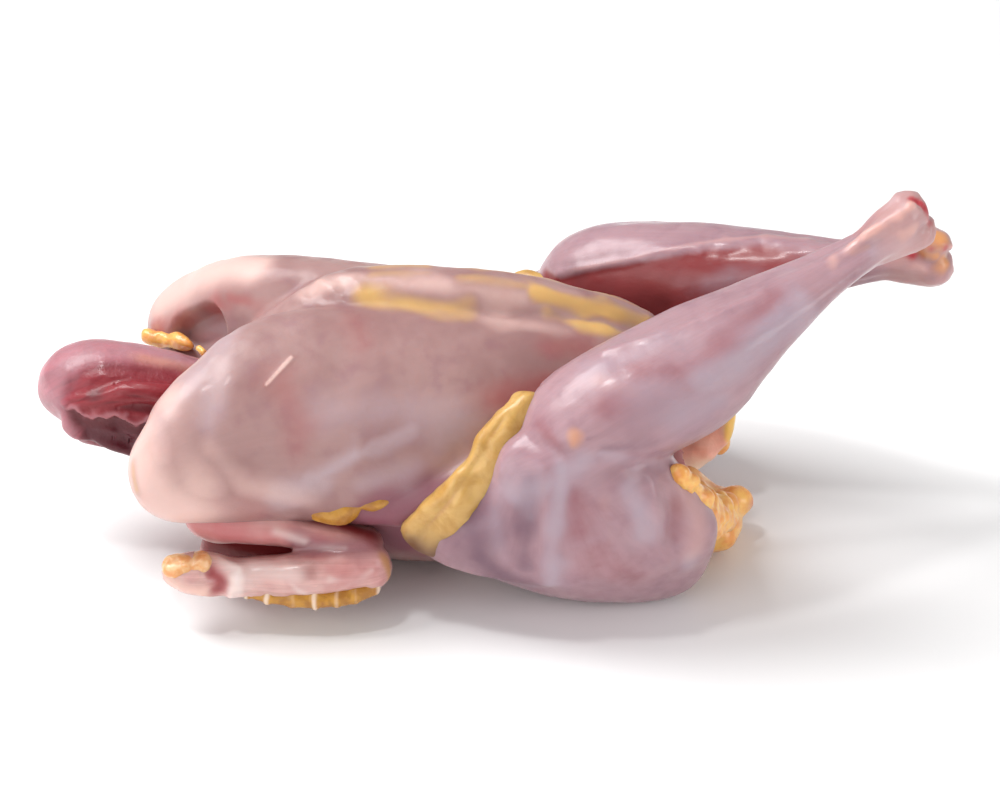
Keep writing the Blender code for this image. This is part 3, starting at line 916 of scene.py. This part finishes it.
# The two ankles were cut differently, so each has marks of its own, on the side it lies on
ANKLE_MARKS = {
    RIGHT: {
        "bone": [
            ([(97, -22, 104), (104, -18, 110), (109, -17, 114), (116, -16, 118),
              (119, -15, 121)], 2.2, 1.0),
            ([(117, -18, 114), (121, -17, 116)], 5.0, 0.6),
            ([(126, -15, 113), (125, -15, 118)], 1.8, 0.9),
        ],
        "blush": [
            ([(104, -14, 114), (112, -12, 119)], 3.0, 0.45),
        ],
        "milk": [
            ([(111, -11, 120), (114, -11, 122)], 2.2, 0.8),
            ([(110, -20, 109), (118, -20, 110)], 3.5, 0.6),
        ],
        "fat": [
            ([(103, -20, 107.5), (107, -19, 109.5)], 2.2, 0.6),
        ],
        "blood": [
            ([(119, -13, 123), (123, -13, 121), (126, -13, 116)], 2.6, 0.62),
            ((121, -13, 121.5), 1.6, 1.0),
            ((124, -13, 120), 1.5, 1.0),
            ((126.5, -13, 115.5), 1.0, 0.9),
        ],
    },
    LEFT: {
        "bone": [
            ([(124, 1, 99), (131, 4, 99), (136, 6, 97)], 2.0, 1.0),
            ([(120, 3, 93), (132, 2, 90)], 4.0, 0.6),
        ],
        "blush": [
            ([(118, 4, 95), (126, 3, 96)], 2.4, 0.7),
        ],
        "milk": [
            ([(112, 6, 89), (124, 3, 89)], 2.5, 0.5),
        ],
        "fat": [
            ([(129, 3, 102), (133, 5, 101)], 3.4, 0.85),
            ([(125, 1, 97), (130, 2, 96)], 3.0, 0.75),
            ((133, 3, 93.5), 2.6, 0.85),
            ([(108, 5, 88), (116, 4, 88)], 2.4, 0.6),
        ],
        "blood": [
            ([(118, 4, 96), (123, 2, 96)], 2.4, 0.85),
            ((129, 2, 98.5), 2.0, 0.7),
            ((133, 4, 98), 2.0, 0.6),
        ],
    },
}
print("marks on one leg:", sum(map(len, (LEG_MILK_AND_PAINTED_SHEEN, LEG_BLUSH, LEG_VIOLET, LEG_PALE_AND_PAINTED_LIGHT, LEG_FOLDS))))

# %% [markdown]
# The leg is built once for each side: tubes, one surface round them, the relief and the painted
# layers. The red inner muscle ends at the ridge, so it is kept only below that line.

# %% A leg


def leg(side):
    """One leg, from the hip to the ankle, with its marks painted on."""
    def place(line):
        return on_leg(line, side)

    knobs = [ankle_knob(side, offset) for offset in (-KNOB_OFFSET, KNOB_OFFSET)]
    thing = tubes_object(SIDE_NAME[side] + "_leg", [thigh(side), drumstick(side)] + knobs)
    remeshed(thing, 0.9, 8)
    points = points_of(thing)
    outward = normals_of(thing)
    knee, bone_step = shin(side)
    share = np.clip((points - knee) @ bone_step / (bone_step @ bone_step), -0.2, 1.1)
    on_calf = ramp(distance_to(points, [knee + 0.1 * bone_step, knee + bone_step])[0], 32, 22)

    fibres_down = along_and_round(points, knee, knee + bone_step)
    fibres_fan = fanned(points, place((12, -44, 74)), (0, side, 0))
    grain = np.where(on_calf[:, None] > 0.5, fibres_down, fibres_fan)

    milk = strokes(points, LEG_MILK_AND_PAINTED_SHEEN, place)
    inner_milk = strokes(points, INNER_MILK, place)
    blush = strokes(points, LEG_BLUSH, place)
    violet = strokes(points, LEG_VIOLET, place)
    fat = strokes(points, LEG_FAT, place)
    bare = ramp(share + 0.03 * lumps(points, 9, 21), 0.72, 0.90)
    ends = {layer: strokes(points, marks, right) * (0.95 + 0.35 * lumps(points, 3.0, 13))
            for layer, marks in ANKLE_MARKS[side].items()}
    ridge = stroke(points, place(INNER_RIDGE), 1.5, 0.6, 22)
    fade = ramp(share + 0.05 * lumps(points, 12, 23), 1.0, 0.40)
    # Height above the pale ridge, worked out where the right leg is drawn
    drawn = on_side(points - place((0, 0, 0)), side)
    rise = drawn[:, 2] - np.interp(drawn[:, 0], *np.transpose(INNER_RIDGE)[[0, 2]])
    red = ramp(strokes(points, INNER_RED, place), 0.15, 0.70) * ramp(rise, 0.5, -2)
    red *= (1 - ridge) * fade
    shade = np.maximum(strokes(points, INNER_SHADE, place), 0.25 * red)

    # Five tendons round the shank, between the calf and the knobs
    tendons = np.sin(5 * fibres_down[:, 1] / MM_PER_RADIAN + 2.0)
    tendons *= ramp(share, 0.5, 0.75) * (1 - ramp(share, 0.86, 0.95))
    height = 0.5 * lumps(points, 24, 7) + 0.22 * lumps(points, 9, 8) + 0.08 * lumps(points, 3.5, 9)
    height += 0.3 * milk - 0.7 * red + 0.6 * ridge + 0.45 * tendons
    for number, (line, width, amount) in enumerate(LEG_FOLDS):
        height += amount * stroke(points, place(line), width, 0.3, 70 + number)
    knobbly = 0.8 * lumps(points, 4.5, 10) + 0.35 * lumps(points, 1.9, 11)
    height += ramp(share, 0.88, 0.98) * knobbly
    proud = 1.3 * ends["bone"] - 1.5 * ends["blush"] + 0.5 * ends["fat"]
    height += ramp(share, 0.75, 0.85) * proud
    height += ramp(share, 0.8, 0.9) * 0.8 * ends["blood"] * lumps(points, 2.0, 12)
    set_points(thing, points + outward * height[:, None])

    blush = np.maximum.reduce([blush, 1.15 * red, ends["blush"]])
    milk = np.maximum.reduce([milk * (1 - red), inner_milk, ends["milk"]])
    pale = np.maximum.reduce(
        [0.5 * bare, 0.45 * ridge, ends["bone"], strokes(points, LEG_PALE_AND_PAINTED_LIGHT, place)])
    finish(thing, LEG, grain=grain, milk=milk, violet=violet, shade=shade, blush=blush,
           fat=np.maximum(fat, ends["fat"]), blood=ends["blood"],
           bone=pale * (1 - np.clip(ends["fat"], 0, 1)))


for side in (RIGHT, LEFT):
    leg(side)

# %% [markdown]
# ## The wings
# Only two joints of each wing are left: the upper arm, tucked under the breast, and the
# forearm, folded forward along the table to the cut wrist.

# %% Wing shapes


def wing_arm(side):
    rows = [
        (-93, -41, 37, 8, 7, 9, 7), (-85, -42.5, 32, 8, 7, 9, 8),
        (-76, -43, 30.5, 8, 7, 9, 6.5), (-64, -43, 28.5, 8, 7, 8, 5.5),
        (-54, -43, 26.5, 8, 7, 6, 5.5), (-44, -44.5, 24.5, 8, 7, 5, 6),
        (-35, -46, 22, 6, 6, 5, 6),
    ]
    return on_side(lofted(rows, caps=(8, 6), sides=36), side)


def armpit(side):
    """The flesh behind the gap between the upper arm and the forearm, painted dark there as shade.
    """
    rows = [
        (-88, -35, 26, 14, 5, 8, 14), (-80, -36, 23, 14, 6, 9, 15),
        (-68, -37, 21, 12, 6, 9, 14), (-52, -38, 20, 10, 7, 8, 12),
    ]
    return on_side(lofted(rows, caps=(4, 7), sides=36), side)


def wing_forearm(side):
    rows = [
        (-32, -48, 18, 6, 6, 8, 5), (-44, -50, 17, 8, 7, 9, 6), (-60, -52, 16.5, 8, 7, 8, 6),
        (-72, -52, 16.5, 7, 6.5, 6.5, 5.5), (-79, -52, 17, 6, 6, 5.5, 5.5),
        (-89, -52, 18, 7.5, 6.5, 7, 6.5), (-101, -51, 18, 6, 5.5, 5.5, 5),
    ]
    return on_side(lofted(rows, caps=(6, 9), rings=70, sides=40), side)


WING_MILK = [
    ([(-74, -56, 23), (-60, -58, 22)], 4.5, 0.55),
    ([(-66, -49, 31), (-58, -50, 28)], 3.0, 0.5),
    ([(-62, -60, 20), (-57, -60, 15)], 1.3, 0.5),
    ([(-50, -58, 20), (-40, -55, 18)], 1.4, 0.55),
    ([(-48, -58, 16), (-38, -55, 21)], 1.4, 0.5),
    ([(-60, -51, 27), (-46, -51, 26)], 1.6, 0.4),
]
WING_CUFF = [([(-82.5, -53, 25), (-77, -56, 22), (-78, -58.5, 18), (-80, -57, 13)], 2.0, 1.0)]
WING_POCKET = [([(-85, -57, 21.5), (-81.8, -58, 18.5), (-83, -58, 15.5)], 2.6, 1.0)]
WING_BLUSH = [
    ([(-50, -57, 21), (-38, -54, 20)], 5.0, 0.45),
    ([(-94, -46, 36), (-78, -50, 29)], 7.0, 0.75),
    ([(-76, -49, 30), (-54, -50, 27)], 5.0, 0.62),
]
WING_VIOLET = [
    ([(-60, -50, 27), (-50, -51, 26), (-40, -49, 25)], 4.5, 0.75),
    ([(-74, -45, 24), (-60, -46, 23)], 3.0, 0.9),
]
WING_SHADE = [
    ([(-94, -40, 20), (-78, -42, 19), (-60, -43, 20)], 6.5, 1.2),
    ([(-72, -47, 25), (-56, -47.5, 23.5), (-40, -48.5, 23.5)], 1.3, 0.8),
    ([(-58, -44, 33), (-48, -45, 31), (-38, -46, 28)], 3.6, 0.85),
]
WING_BONE = [
    ([(-98, -56, 18), (-88, -58, 16)], 4.0, 0.75),
    ([(-86, -53, 25), (-84, -53, 25)], 2.0, 0.8),
]
WING_FAT = [
    ([(-34, -52, 25), (-32, -52, 15)], 2.6, 0.7),
    ([(-38, -51, 29), (-30, -51, 27)], 3.0, 0.6),
]
WING_MARKS = (WING_MILK, WING_CUFF, WING_POCKET, WING_BLUSH, WING_VIOLET, WING_SHADE, WING_BONE,
              WING_FAT)
print("marks on one wing:", sum(map(len, WING_MARKS)))

# %% [markdown]
# The wing's three tubes are wrapped in one surface. At the wrist the membrane is pushed back
# into a cuff, with a pocket behind the cut bone end, and a groove runs along the quill roots.

# %% A wing


def wing(side):
    """One wing, from the shoulder to the cut wrist, with its marks painted on."""
    def place(line):
        return on_side(line, side)

    tubes = [make(side) for make in (wing_arm, armpit, wing_forearm)]
    thing = tubes_object(SIDE_NAME[side] + "_wing", tubes)
    remeshed(thing, 0.7, 5)
    points = points_of(thing)
    outward = normals_of(thing)
    milk = strokes(points, WING_MILK, place)
    groove = stroke(points, place([(-78, -58, 15), (-60, -60, 14), (-40, -57, 15)]), 1.4)
    height = 0.35 * lumps(points, 14, 31) + 0.18 * lumps(points, 5, 32)
    cuff = strokes(points, WING_CUFF, place)
    pocket = strokes(points, WING_POCKET, place)
    height += 0.5 * milk - 0.8 * groove + 1.2 * cuff - 1.8 * pocket
    set_points(thing, points + outward * height[:, None])
    grain = along_and_round(points, place((-32, -48, 18)), place((-101, -51, 18)))
    finish(thing, WING, grain=grain,
           milk=np.maximum(milk, 0.9 * cuff), violet=strokes(points, WING_VIOLET, place),
           blush=np.maximum(strokes(points, WING_BLUSH, place), pocket),
           shade=np.maximum(strokes(points, WING_SHADE, place), 0.5 * pocket),
           bone=strokes(points, WING_BONE, place), fat=strokes(points, WING_FAT, place))


for side in (RIGHT, LEFT):
    wing(side)

# %% [markdown]
# ## The neck
# The neck was cut short and its muscles have curled: a smooth membrane wraps the far side and
# the tip, and the open side shows red strands, with a dark fold below them. A core and four
# curved strands give the form.

# %% Neck shape


def neck_core():
    rows = [
        (-70, 0, 34, 15, 15, 14, 14), (-92, 0, 42, 17, 15, 17, 17),
        (-113, 1, 48, 18, 15, 17, 17), (-130, 2, 51, 16, 15, 14.5, 17),
        (-142, 2, 48, 12, 12, 11, 14),
    ]
    return lofted(rows, caps=(6, 18), sides=48)


def neck_strand(number):
    low = 5.5 * number
    rows = [
        (-92, -13, 55 - 1.6 * low, 4, 3, 4, 4), (-108, -14, 58 - 1.3 * low, 4, 4, 4.5, 4.5),
        (-122, -13, 55 - 0.8 * low, 4, 3.5, 4, 4), (-134, -9, 52 - 0.4 * low, 3, 3, 3.5, 3.5),
    ]
    return lofted(rows, caps=(5, 6), rings=40, sides=24)


print("neck strands start at z", [round(neck_strand(number)[0, 0, 2], 1) for number in range(4)])

# %% [markdown]
# The open side is an area with two parts. Above, the strands sweep over a point that lies below
# them, like ribs of a fan. Below, the sheet they lie on ends in a torn hem, and the dark fold
# shows. A pale rim wraps the top and the tip.

# %% Neck relief
neck = tubes_object("neck", [neck_core()] + [neck_strand(number) for number in range(4)])
remeshed(neck, 0.65, 6)
points = points_of(neck)
outward = normals_of(neck)
# The centre of the sweep lies under the strands, so that they run round it
sweep = fanned(points, (-113.0, -15.0, 30.0), (0, 1, 0))
core = stroke(points, [(-92, -14, 58), (-112, -15, 56), (-122, -13, 54)], 12.5, 0.2, 41)
low_core = stroke(points, [(-98, -15, 44), (-112, -17, 41), (-120, -15, 44)], 7.5, 0.3, 42)
inside = ramp(np.maximum(core, low_core), 0.26, 0.60) * ramp(-points[:, 1], 1, 7)
# The torn lower edge of the upper sheet: its height wanders by 2.5 mm about z = 50
hem = points[:, 2] - 50 - 2.5 * lumps(points, 5, 43) - 1.2 * lumps(points, 2.2, 47)
below = inside * ramp(hem, 0.6, -0.6)
lip = inside * np.exp(-((hem - 1.0) / 1.3) ** 2)
fibres = lumps(sweep * (1, 0.22, 0.3), 2.4, 44) + 0.6 * lumps(sweep * (1, 0.15, 0.3), 1.1, 50)
height = 0.4 * lumps(points, 12, 45) + 0.15 * lumps(points, 4, 46)
height += -0.9 * inside + 0.5 * inside * (1 - below) * fibres + 0.5 * lip
height += below * (-0.9 + 0.6 * lumps(points * (1, 0.4, 0.35), 4.5, 48))
height -= 0.8 * stroke(points, [(-116, -18, 47), (-112, -17, 38)], 2.6)
set_points(neck, points + outward * height[:, None])
RIM = [(-92, 2, 62), (-112, 3, 65), (-130, 2, 63), (-141, -3, 55), (-139, -10, 46)]
rim = ramp(stroke(points, RIM, 11.0, 0.5, 49), 0.05, 0.75)
# Painted highlights, stored as pale membrane: a broad sheen on top of the neck and a small one at
# its tip
SHEEN = [
    ([(-131, -6, 62.5), (-122, -2, 65)], 3.4, 0.5),
    ([(-138, -12, 50), (-134, -14, 47)], 2.5, 0.4),
]
sheen = strokes(points, SHEEN, right)
# Painted shade deepening down into the fold under the hem, and a painted shadow where the neck
# meets the breast
shade = np.maximum(0.55 * below * ramp(hem, 0, -6),
                   0.8 * stroke(points, [(-100, -15, 50), (-106, -16, 40)], 5.0))
finish(neck, NECK, grain=sweep[:, [1, 0, 2]], blush=core * inside, shade=shade,
       milk=np.maximum.reduce([0.44 * rim * (1 - inside), 0.40 * lip, sheen]),
       violet=np.maximum(0.9 * below, 0.75 * inside * ramp(fibres, -0.1, -0.9)),
       fat=0.5 * stroke(points, [(-108, -3, 65), (-94, -4, 62.5)], 4.0, 0.4))

# %% [markdown]
# ## The tail
# A flat stump of fat and gristle, with four round lumps of fat on top where it was trimmed. The
# hollow's cutter is taken out of it too, so that the way in stays open.

# %% Tail shape


def tail_stump():
    rows = [(50, -3, 15, 20, 20, 9, 14), (64, -7, 10, 16, 16, 7, 9), (76, -8, 9, 13, 13, 7, 7)]
    return lofted(rows, caps=(6, 7), sides=40)


def fat_lump(x, y, z, size):
    reach = (size,) * 4
    rows = [(x - size, y + 2, z, *reach), (x + size, y - 2, z - 1, *reach)]
    return lofted(rows, caps=(size, size), rings=20, sides=24)


TAIL_LUMPS = ((62, -14, 17, 5), (61, -4, 16.5, 5), (69, -10, 15, 5), (74, -3, 13, 5))
tail = tubes_object("tail", [tail_stump()] + [fat_lump(*lump) for lump in TAIL_LUMPS])
remeshed(tail, 0.7, 5, HOLLOW)
points = points_of(tail)
height = 0.6 * lumps(points, 6, 51) + 0.25 * lumps(points, 2.8, 52)
set_points(tail, points + normals_of(tail) * height[:, None])
finish(tail, TAIL_FAT, blush=0.6 * stroke(points, [(80, -14, 12), (80, 2, 12)], 5.0, 0.3))

# %% [markdown]
# ## Fat between the muscles
# A thick yellow strip fills the fold between breast and thigh, and small pads hang under the
# edge of the breast. They are tubes with lobed skins, so that they lie on the muscle instead
# of being painted on it.

# %% Fat shapes


def flank_fat(side):
    rows = [
        (11, -40, 72, 2.5, 2.5, 2, 7), (7, -45, 70, 4.5, 4.5, 3, 8),
        (1, -48.5, 62, 6.5, 6.5, 4, 9), (-5, -52, 52, 7, 7, 3.5, 10),
        (-12, -53, 42, 8, 8, 3.5, 10), (-19, -52.5, 33, 9, 9, 3, 10),
        (-25, -49.5, 25, 8, 8, 2.5, 10),
    ]
    if side == LEFT:
        rows[:2] = [(11, -38, 66, 2.5, 2.5, 2, 7), (7, -44, 66, 4.5, 4.5, 3, 8)]
    return on_leg(lofted(rows, caps=(4, 5), up=(0, -1, 0), sides=40), side)


def pelvic_fat(side):
    """The roll of fat from the back edge of the thigh round to the tail."""
    rows = [
        (51, -52, 56, 1.5, 1.5, 1.5, 3), (54, -51, 50, 2.2, 2.2, 2.5, 4),
        (57, -46, 42, 4.5, 4.5, 4, 6), (60, -41, 33, 6.5, 6.5, 5.5, 7),
        (64, -31, 25, 7, 7, 6, 8), (69, -18, 18, 6, 6, 5, 8),
    ]
    return on_side(lofted(rows, caps=(4, 6), up=(1, 0, 0), sides=36), side)


def edge_fat(side):
    rows = [
        (-60, -45.5, 39, 2, 2, 3, 2), (-55, -47, 38, 3, 3.6, 4, 4),
        (-46, -47.4, 37, 3, 3.6, 4, 4.5), (-41.5, -46.5, 39, 2, 2.4, 3, 1.6),
        (-37, -46.5, 39.5, 2.5, 3, 3, 3), (-30, -45, 42, 1.5, 2, 2, 1.5),
    ]
    return on_side(lofted(rows, caps=(4, 4), sides=28), side)


def quill_edge(side):
    rows = [
        (-77, -53, 13.5, 4, 4, 2.5, 2.5), (-60, -55, 12.5, 5, 4.5, 3.5, 3.5),
        (-46, -54, 12.5, 5, 4.5, 3.5, 3.5), (-36, -51.5, 14.5, 4, 4, 3.5, 3),
    ]
    return on_side(lofted(rows, caps=(4, 5), sides=28), side)


def neck_fat():
    """A band of fat between the neck and the left breast, and one crumb beside it."""
    band = [
        (-113, 32, 52, 2, 2, 2, 2), (-109, 29.5, 53.5, 2.6, 2.6, 2.6, 3),
        (-104, 27, 54.5, 2, 2, 2, 3), (-100, 24.5, 55, 2.6, 2.6, 2.4, 3),
        (-96, 21, 54, 1.6, 1.6, 1.4, 2),
    ]
    return [lofted(band, caps=(3, 3), rings=40, sides=28), fat_lump(-93, 17.5, 55.5, 1.5)]


QUILL_PITCH = 6.5    # mm from one root of a flight feather to the next


def quills(points):
    """Narrow ridges across the wing's edge, where the flight feathers were rooted: the 8th power
    of |sin(pi x / pitch)|, with x bent by noise."""
    bent = points[:, 0] + 1.2 * lumps(points, 6, 64)
    beat = np.abs(np.sin(np.pi * bent / QUILL_PITCH)) ** 8
    return beat * (0.6 + 0.25 * lumps(points * (1, 0, 0), 6, 65))


print("right flank fat, z from", flank_fat(RIGHT)[..., 2].min().round(), "to",
      flank_fat(RIGHT)[..., 2].max().round(), "mm")

# %% [markdown]
# Every piece of fat is made in the same way, from its tubes, its material and the size of its
# lobes. Where quills were pulled, pale tissue stands proud of the fat.

# %% Fat pieces


def fat_piece(name, tubes, material, size=6.0, depth=0.7, seed=61, ridges=None, fold=None,
              shade_heights=None):
    """Closed tubes of fat with a lobed skin: lumps of the given size, depth mm high. ridges
    gives pale tissue that stands proud of it, fold is a line that is drawn in, and dusk the
    heights between which painted shade darkens the fat downwards."""
    painted = {}
    thing = remeshed(tubes_object(name, tubes), 0.6, 9)
    points = points_of(thing)
    height = depth * lumps(points, size, seed) + 0.35 * depth * lumps(points, 0.4 * size, seed + 1)
    if ridges:
        painted["bone"] = ridges(points)
        height += 0.9 * painted["bone"]
    if fold is not None:
        crease = stroke(points, fold, 1.3, 0.4, seed)
        height -= 0.8 * crease
        painted["blush"] = 0.4 * crease
    # Painted shade: the fat darkens towards its lower end
    if shade_heights:
        painted["shade"] = (0.70 + 0.10 * lumps(points, 5, seed + 2)) * ramp(points[:, 2], *shade_heights)
    set_points(thing, points + normals_of(thing) * height[:, None])
    finish(thing, material, **painted)


# The fold down the middle of the flank fat
CREASE = [(2, -49, 72), (-7, -53, 57), (-15, -56, 45), (-23, -56, 34), (-31, -52, 24)]

for side in (RIGHT, LEFT):
    name = SIDE_NAME[side]
    fat_piece(name + "_flank_fat", [flank_fat(side)], FAT, size=7.0, depth=0.8,
              fold=on_leg(CREASE, side), shade_heights=(46, 24))
    fat_piece(name + "_edge_fat", [edge_fat(side)], DEEP_FAT, size=5.0, depth=0.8)
    fat_piece(name + "_quill_edge", [quill_edge(side)], DEEP_FAT, size=4.0, depth=0.4,
              ridges=quills)
    fat_piece(name + "_pelvic_fat", [pelvic_fat(side)], TAIL_FAT, size=4.5, depth=1.5)

fat_piece("neck_fat", neck_fat(), TAIL_FAT, size=3.5, depth=0.9)


def wrist_cap(side):
    """The cartilage on top of the cut wrist."""
    rows = [
        (-100, -51.5, 20, 3.5, 3.5, 3, 3), (-97, -52.5, 21, 5, 5, 3.2, 3),
        (-93, -53, 22, 5, 5, 3, 3), (-90.5, -53, 22, 4.4, 4.4, 2.3, 3),
        (-88, -53, 22.5, 4.4, 4.4, 3.2, 3), (-84.5, -52.5, 23, 3, 3, 2.4, 2),
    ]
    return on_side(lofted(rows, caps=(4, 4), sides=32), side)


for side in (RIGHT, LEFT):
    fat_piece(SIDE_NAME[side] + "_wrist_cap", [wrist_cap(side)], CARTILAGE, size=3.0, depth=0.5)

# %% [markdown]
# ## The cut belly wall
# Beside the opening stand the two cut edges of the belly wall, each with a ragged rim of fat.
# The left one reaches further out.

# %% Belly flaps


def vent_lip(side):
    reach = LIP_REACH[side]
    rows = [
        (52, -17, 10, 4, 4, 4, 8), (reach - 9, -19, 18, 4, 3, 4, 9),
        (reach - 4, -20, 28, 4, 3, 4, 10), (reach - 7, -18, 40, 4, 3, 4, 10),
        (min(reach - 9, 52), -12, 52, 5, 4, 4, 9),
    ]
    return on_side(lofted(rows, caps=(4, 5), up=(1, 0, 0), sides=28), side)


FLAP_RED = [([(69, -16, 30), (60, -16, 24)], 4.0, 0.4)]
FLAP_PALE = [
    ([(74, -17, 34), (72, -17, 27)], 2.0, 0.8),
    ([(66, -16, 14), (59, -16, 13)], 4.0, 0.7),
]

for side in (RIGHT, LEFT):
    flap = remeshed(tubes_object(SIDE_NAME[side] + "_belly_flap", [vent_lip(side)]), 0.7, 4, HOLLOW)
    points = points_of(flap)
    rim = ramp(points[:, 0] + lumps(points, 4, 81), LIP_REACH[side] - 4, LIP_REACH[side] - 1)
    height = 0.5 * lumps(points, 7, 82) + 0.3 * lumps(points, 3, 83) + 0.6 * rim
    set_points(flap, points + normals_of(flap) * height[:, None])
    beside = right if side == RIGHT else left
    finish(flap, WALL, fat=rim, blush=0.3 * (1 - rim), blood=strokes(points, FLAP_RED, beside),
           milk=strokes(points, FLAP_PALE, beside))

# %% [markdown]
# ## Table, light and camera
# The bird lies on a plain pale table. A soft key light above on the neck's side gives the form,
# a broad one at the front opens the near side, and a weak one on the legs' side and an even sky
# fill the shadows. A small, weak spark overhead gives the wet film its tight highlights.

# %% Table


def table():
    """A flat square sheet, two metres to each side of the bird."""
    corners = [(-2000, -2000, 0), (2000, -2000, 0), (2000, 2000, 0), (-2000, 2000, 0)]
    sheet = new_object("table", corners, [(0, 1, 2, 3)])
    material = bpy.data.materials.new("matt_white_board")
    material.use_nodes = True
    tree = material.node_tree
    shader = tree.nodes["Principled BSDF"]
    place = add(tree, "ShaderNodeTexCoord").outputs["Object"]
    tooth = add(tree, "ShaderNodeTexNoise", {
        "Vector": place, "Scale": 1 / (1.5 * MM), "Detail": 2.0})
    relief = add(tree, "ShaderNodeBump", {
        "Height": tooth.outputs["Fac"], "Strength": 0.1, "Distance": 0.1 * MM})
    tree.links.new(relief.outputs["Normal"], shader.inputs["Normal"])
    shader.inputs["Base Color"].default_value = linear("f4f4f4")
    shader.inputs["Roughness"].default_value = 0.7
    sheet.data.materials.append(material)


table()
print("table: 4 by 4 metres")

# %% [markdown]
# Lights are round area lamps. The larger a lamp is for its distance, the softer its shadow.

# %% Lights
AIM = (0, 0, 0.05)    # metres, the middle of the bird
LAMPS = (    # name, place and diameter in metres, power in watts
    ("key", (-0.62, 0.22, 1.0), 0.7, 12.5),
    ("front", (-0.95, -0.95, 0.45), 1.2, 7.5),
    ("fill", (0.95, -0.50, 0.40), 0.6, 4.0),
    ("spark", (-0.30, -0.15, 1.1), 0.12, 2.2),
)


def soft_light(name, place, size, power):
    lamp = bpy.data.lights.new(name, "AREA")
    lamp.shape, lamp.size, lamp.energy = "DISK", size, power
    thing = bpy.data.objects.new(name, lamp)
    thing.location = place
    thing.rotation_euler = (Vector(AIM) - Vector(place)).to_track_quat("-Z", "Y").to_euler()
    bpy.context.scene.collection.objects.link(thing)


for lamp in LAMPS:
    soft_light(*lamp)

world = bpy.data.worlds.new("pale_room")
world.use_nodes = True
world.node_tree.nodes["Background"].inputs["Color"].default_value = linear("ffffff")
world.node_tree.nodes["Background"].inputs["Strength"].default_value = 0.445
bpy.context.scene.world = world
bpy.context.scene.view_settings.view_transform = "Standard"
print("lamps:", [lamp[0] for lamp in LAMPS])

# %% [markdown]
# The camera looks along +Y and 30 degrees down, from 0.9 m, so that one millimetre at the
# bird's middle is about three pixels of a picture 1000 pixels wide.

# %% Camera
DISTANCE = 0.9
MM_PER_PIXEL = 0.316
back = Vector((0, -np.cos(np.radians(30)), np.sin(np.radians(30))))
aim = Vector((2.36, 20.5, 35.6)) * MM
view = bpy.data.cameras.new("camera")
view.sensor_width = 36.0
view.lens = 18.0 * DISTANCE / (500 * MM_PER_PIXEL * MM)
camera = bpy.data.objects.new("camera", view)
camera.location = aim + back * DISTANCE
camera.rotation_euler = (-back).to_track_quat("-Z", "Y").to_euler()
bpy.context.scene.collection.objects.link(camera)
bpy.context.scene.camera = camera
print("camera at", tuple(round(value, 3) for value in camera.location), "metres")

# %% [markdown]
# Last, the hollow's cutter is removed.

# %% Removing the cutter
bpy.data.objects.remove(HOLLOW)
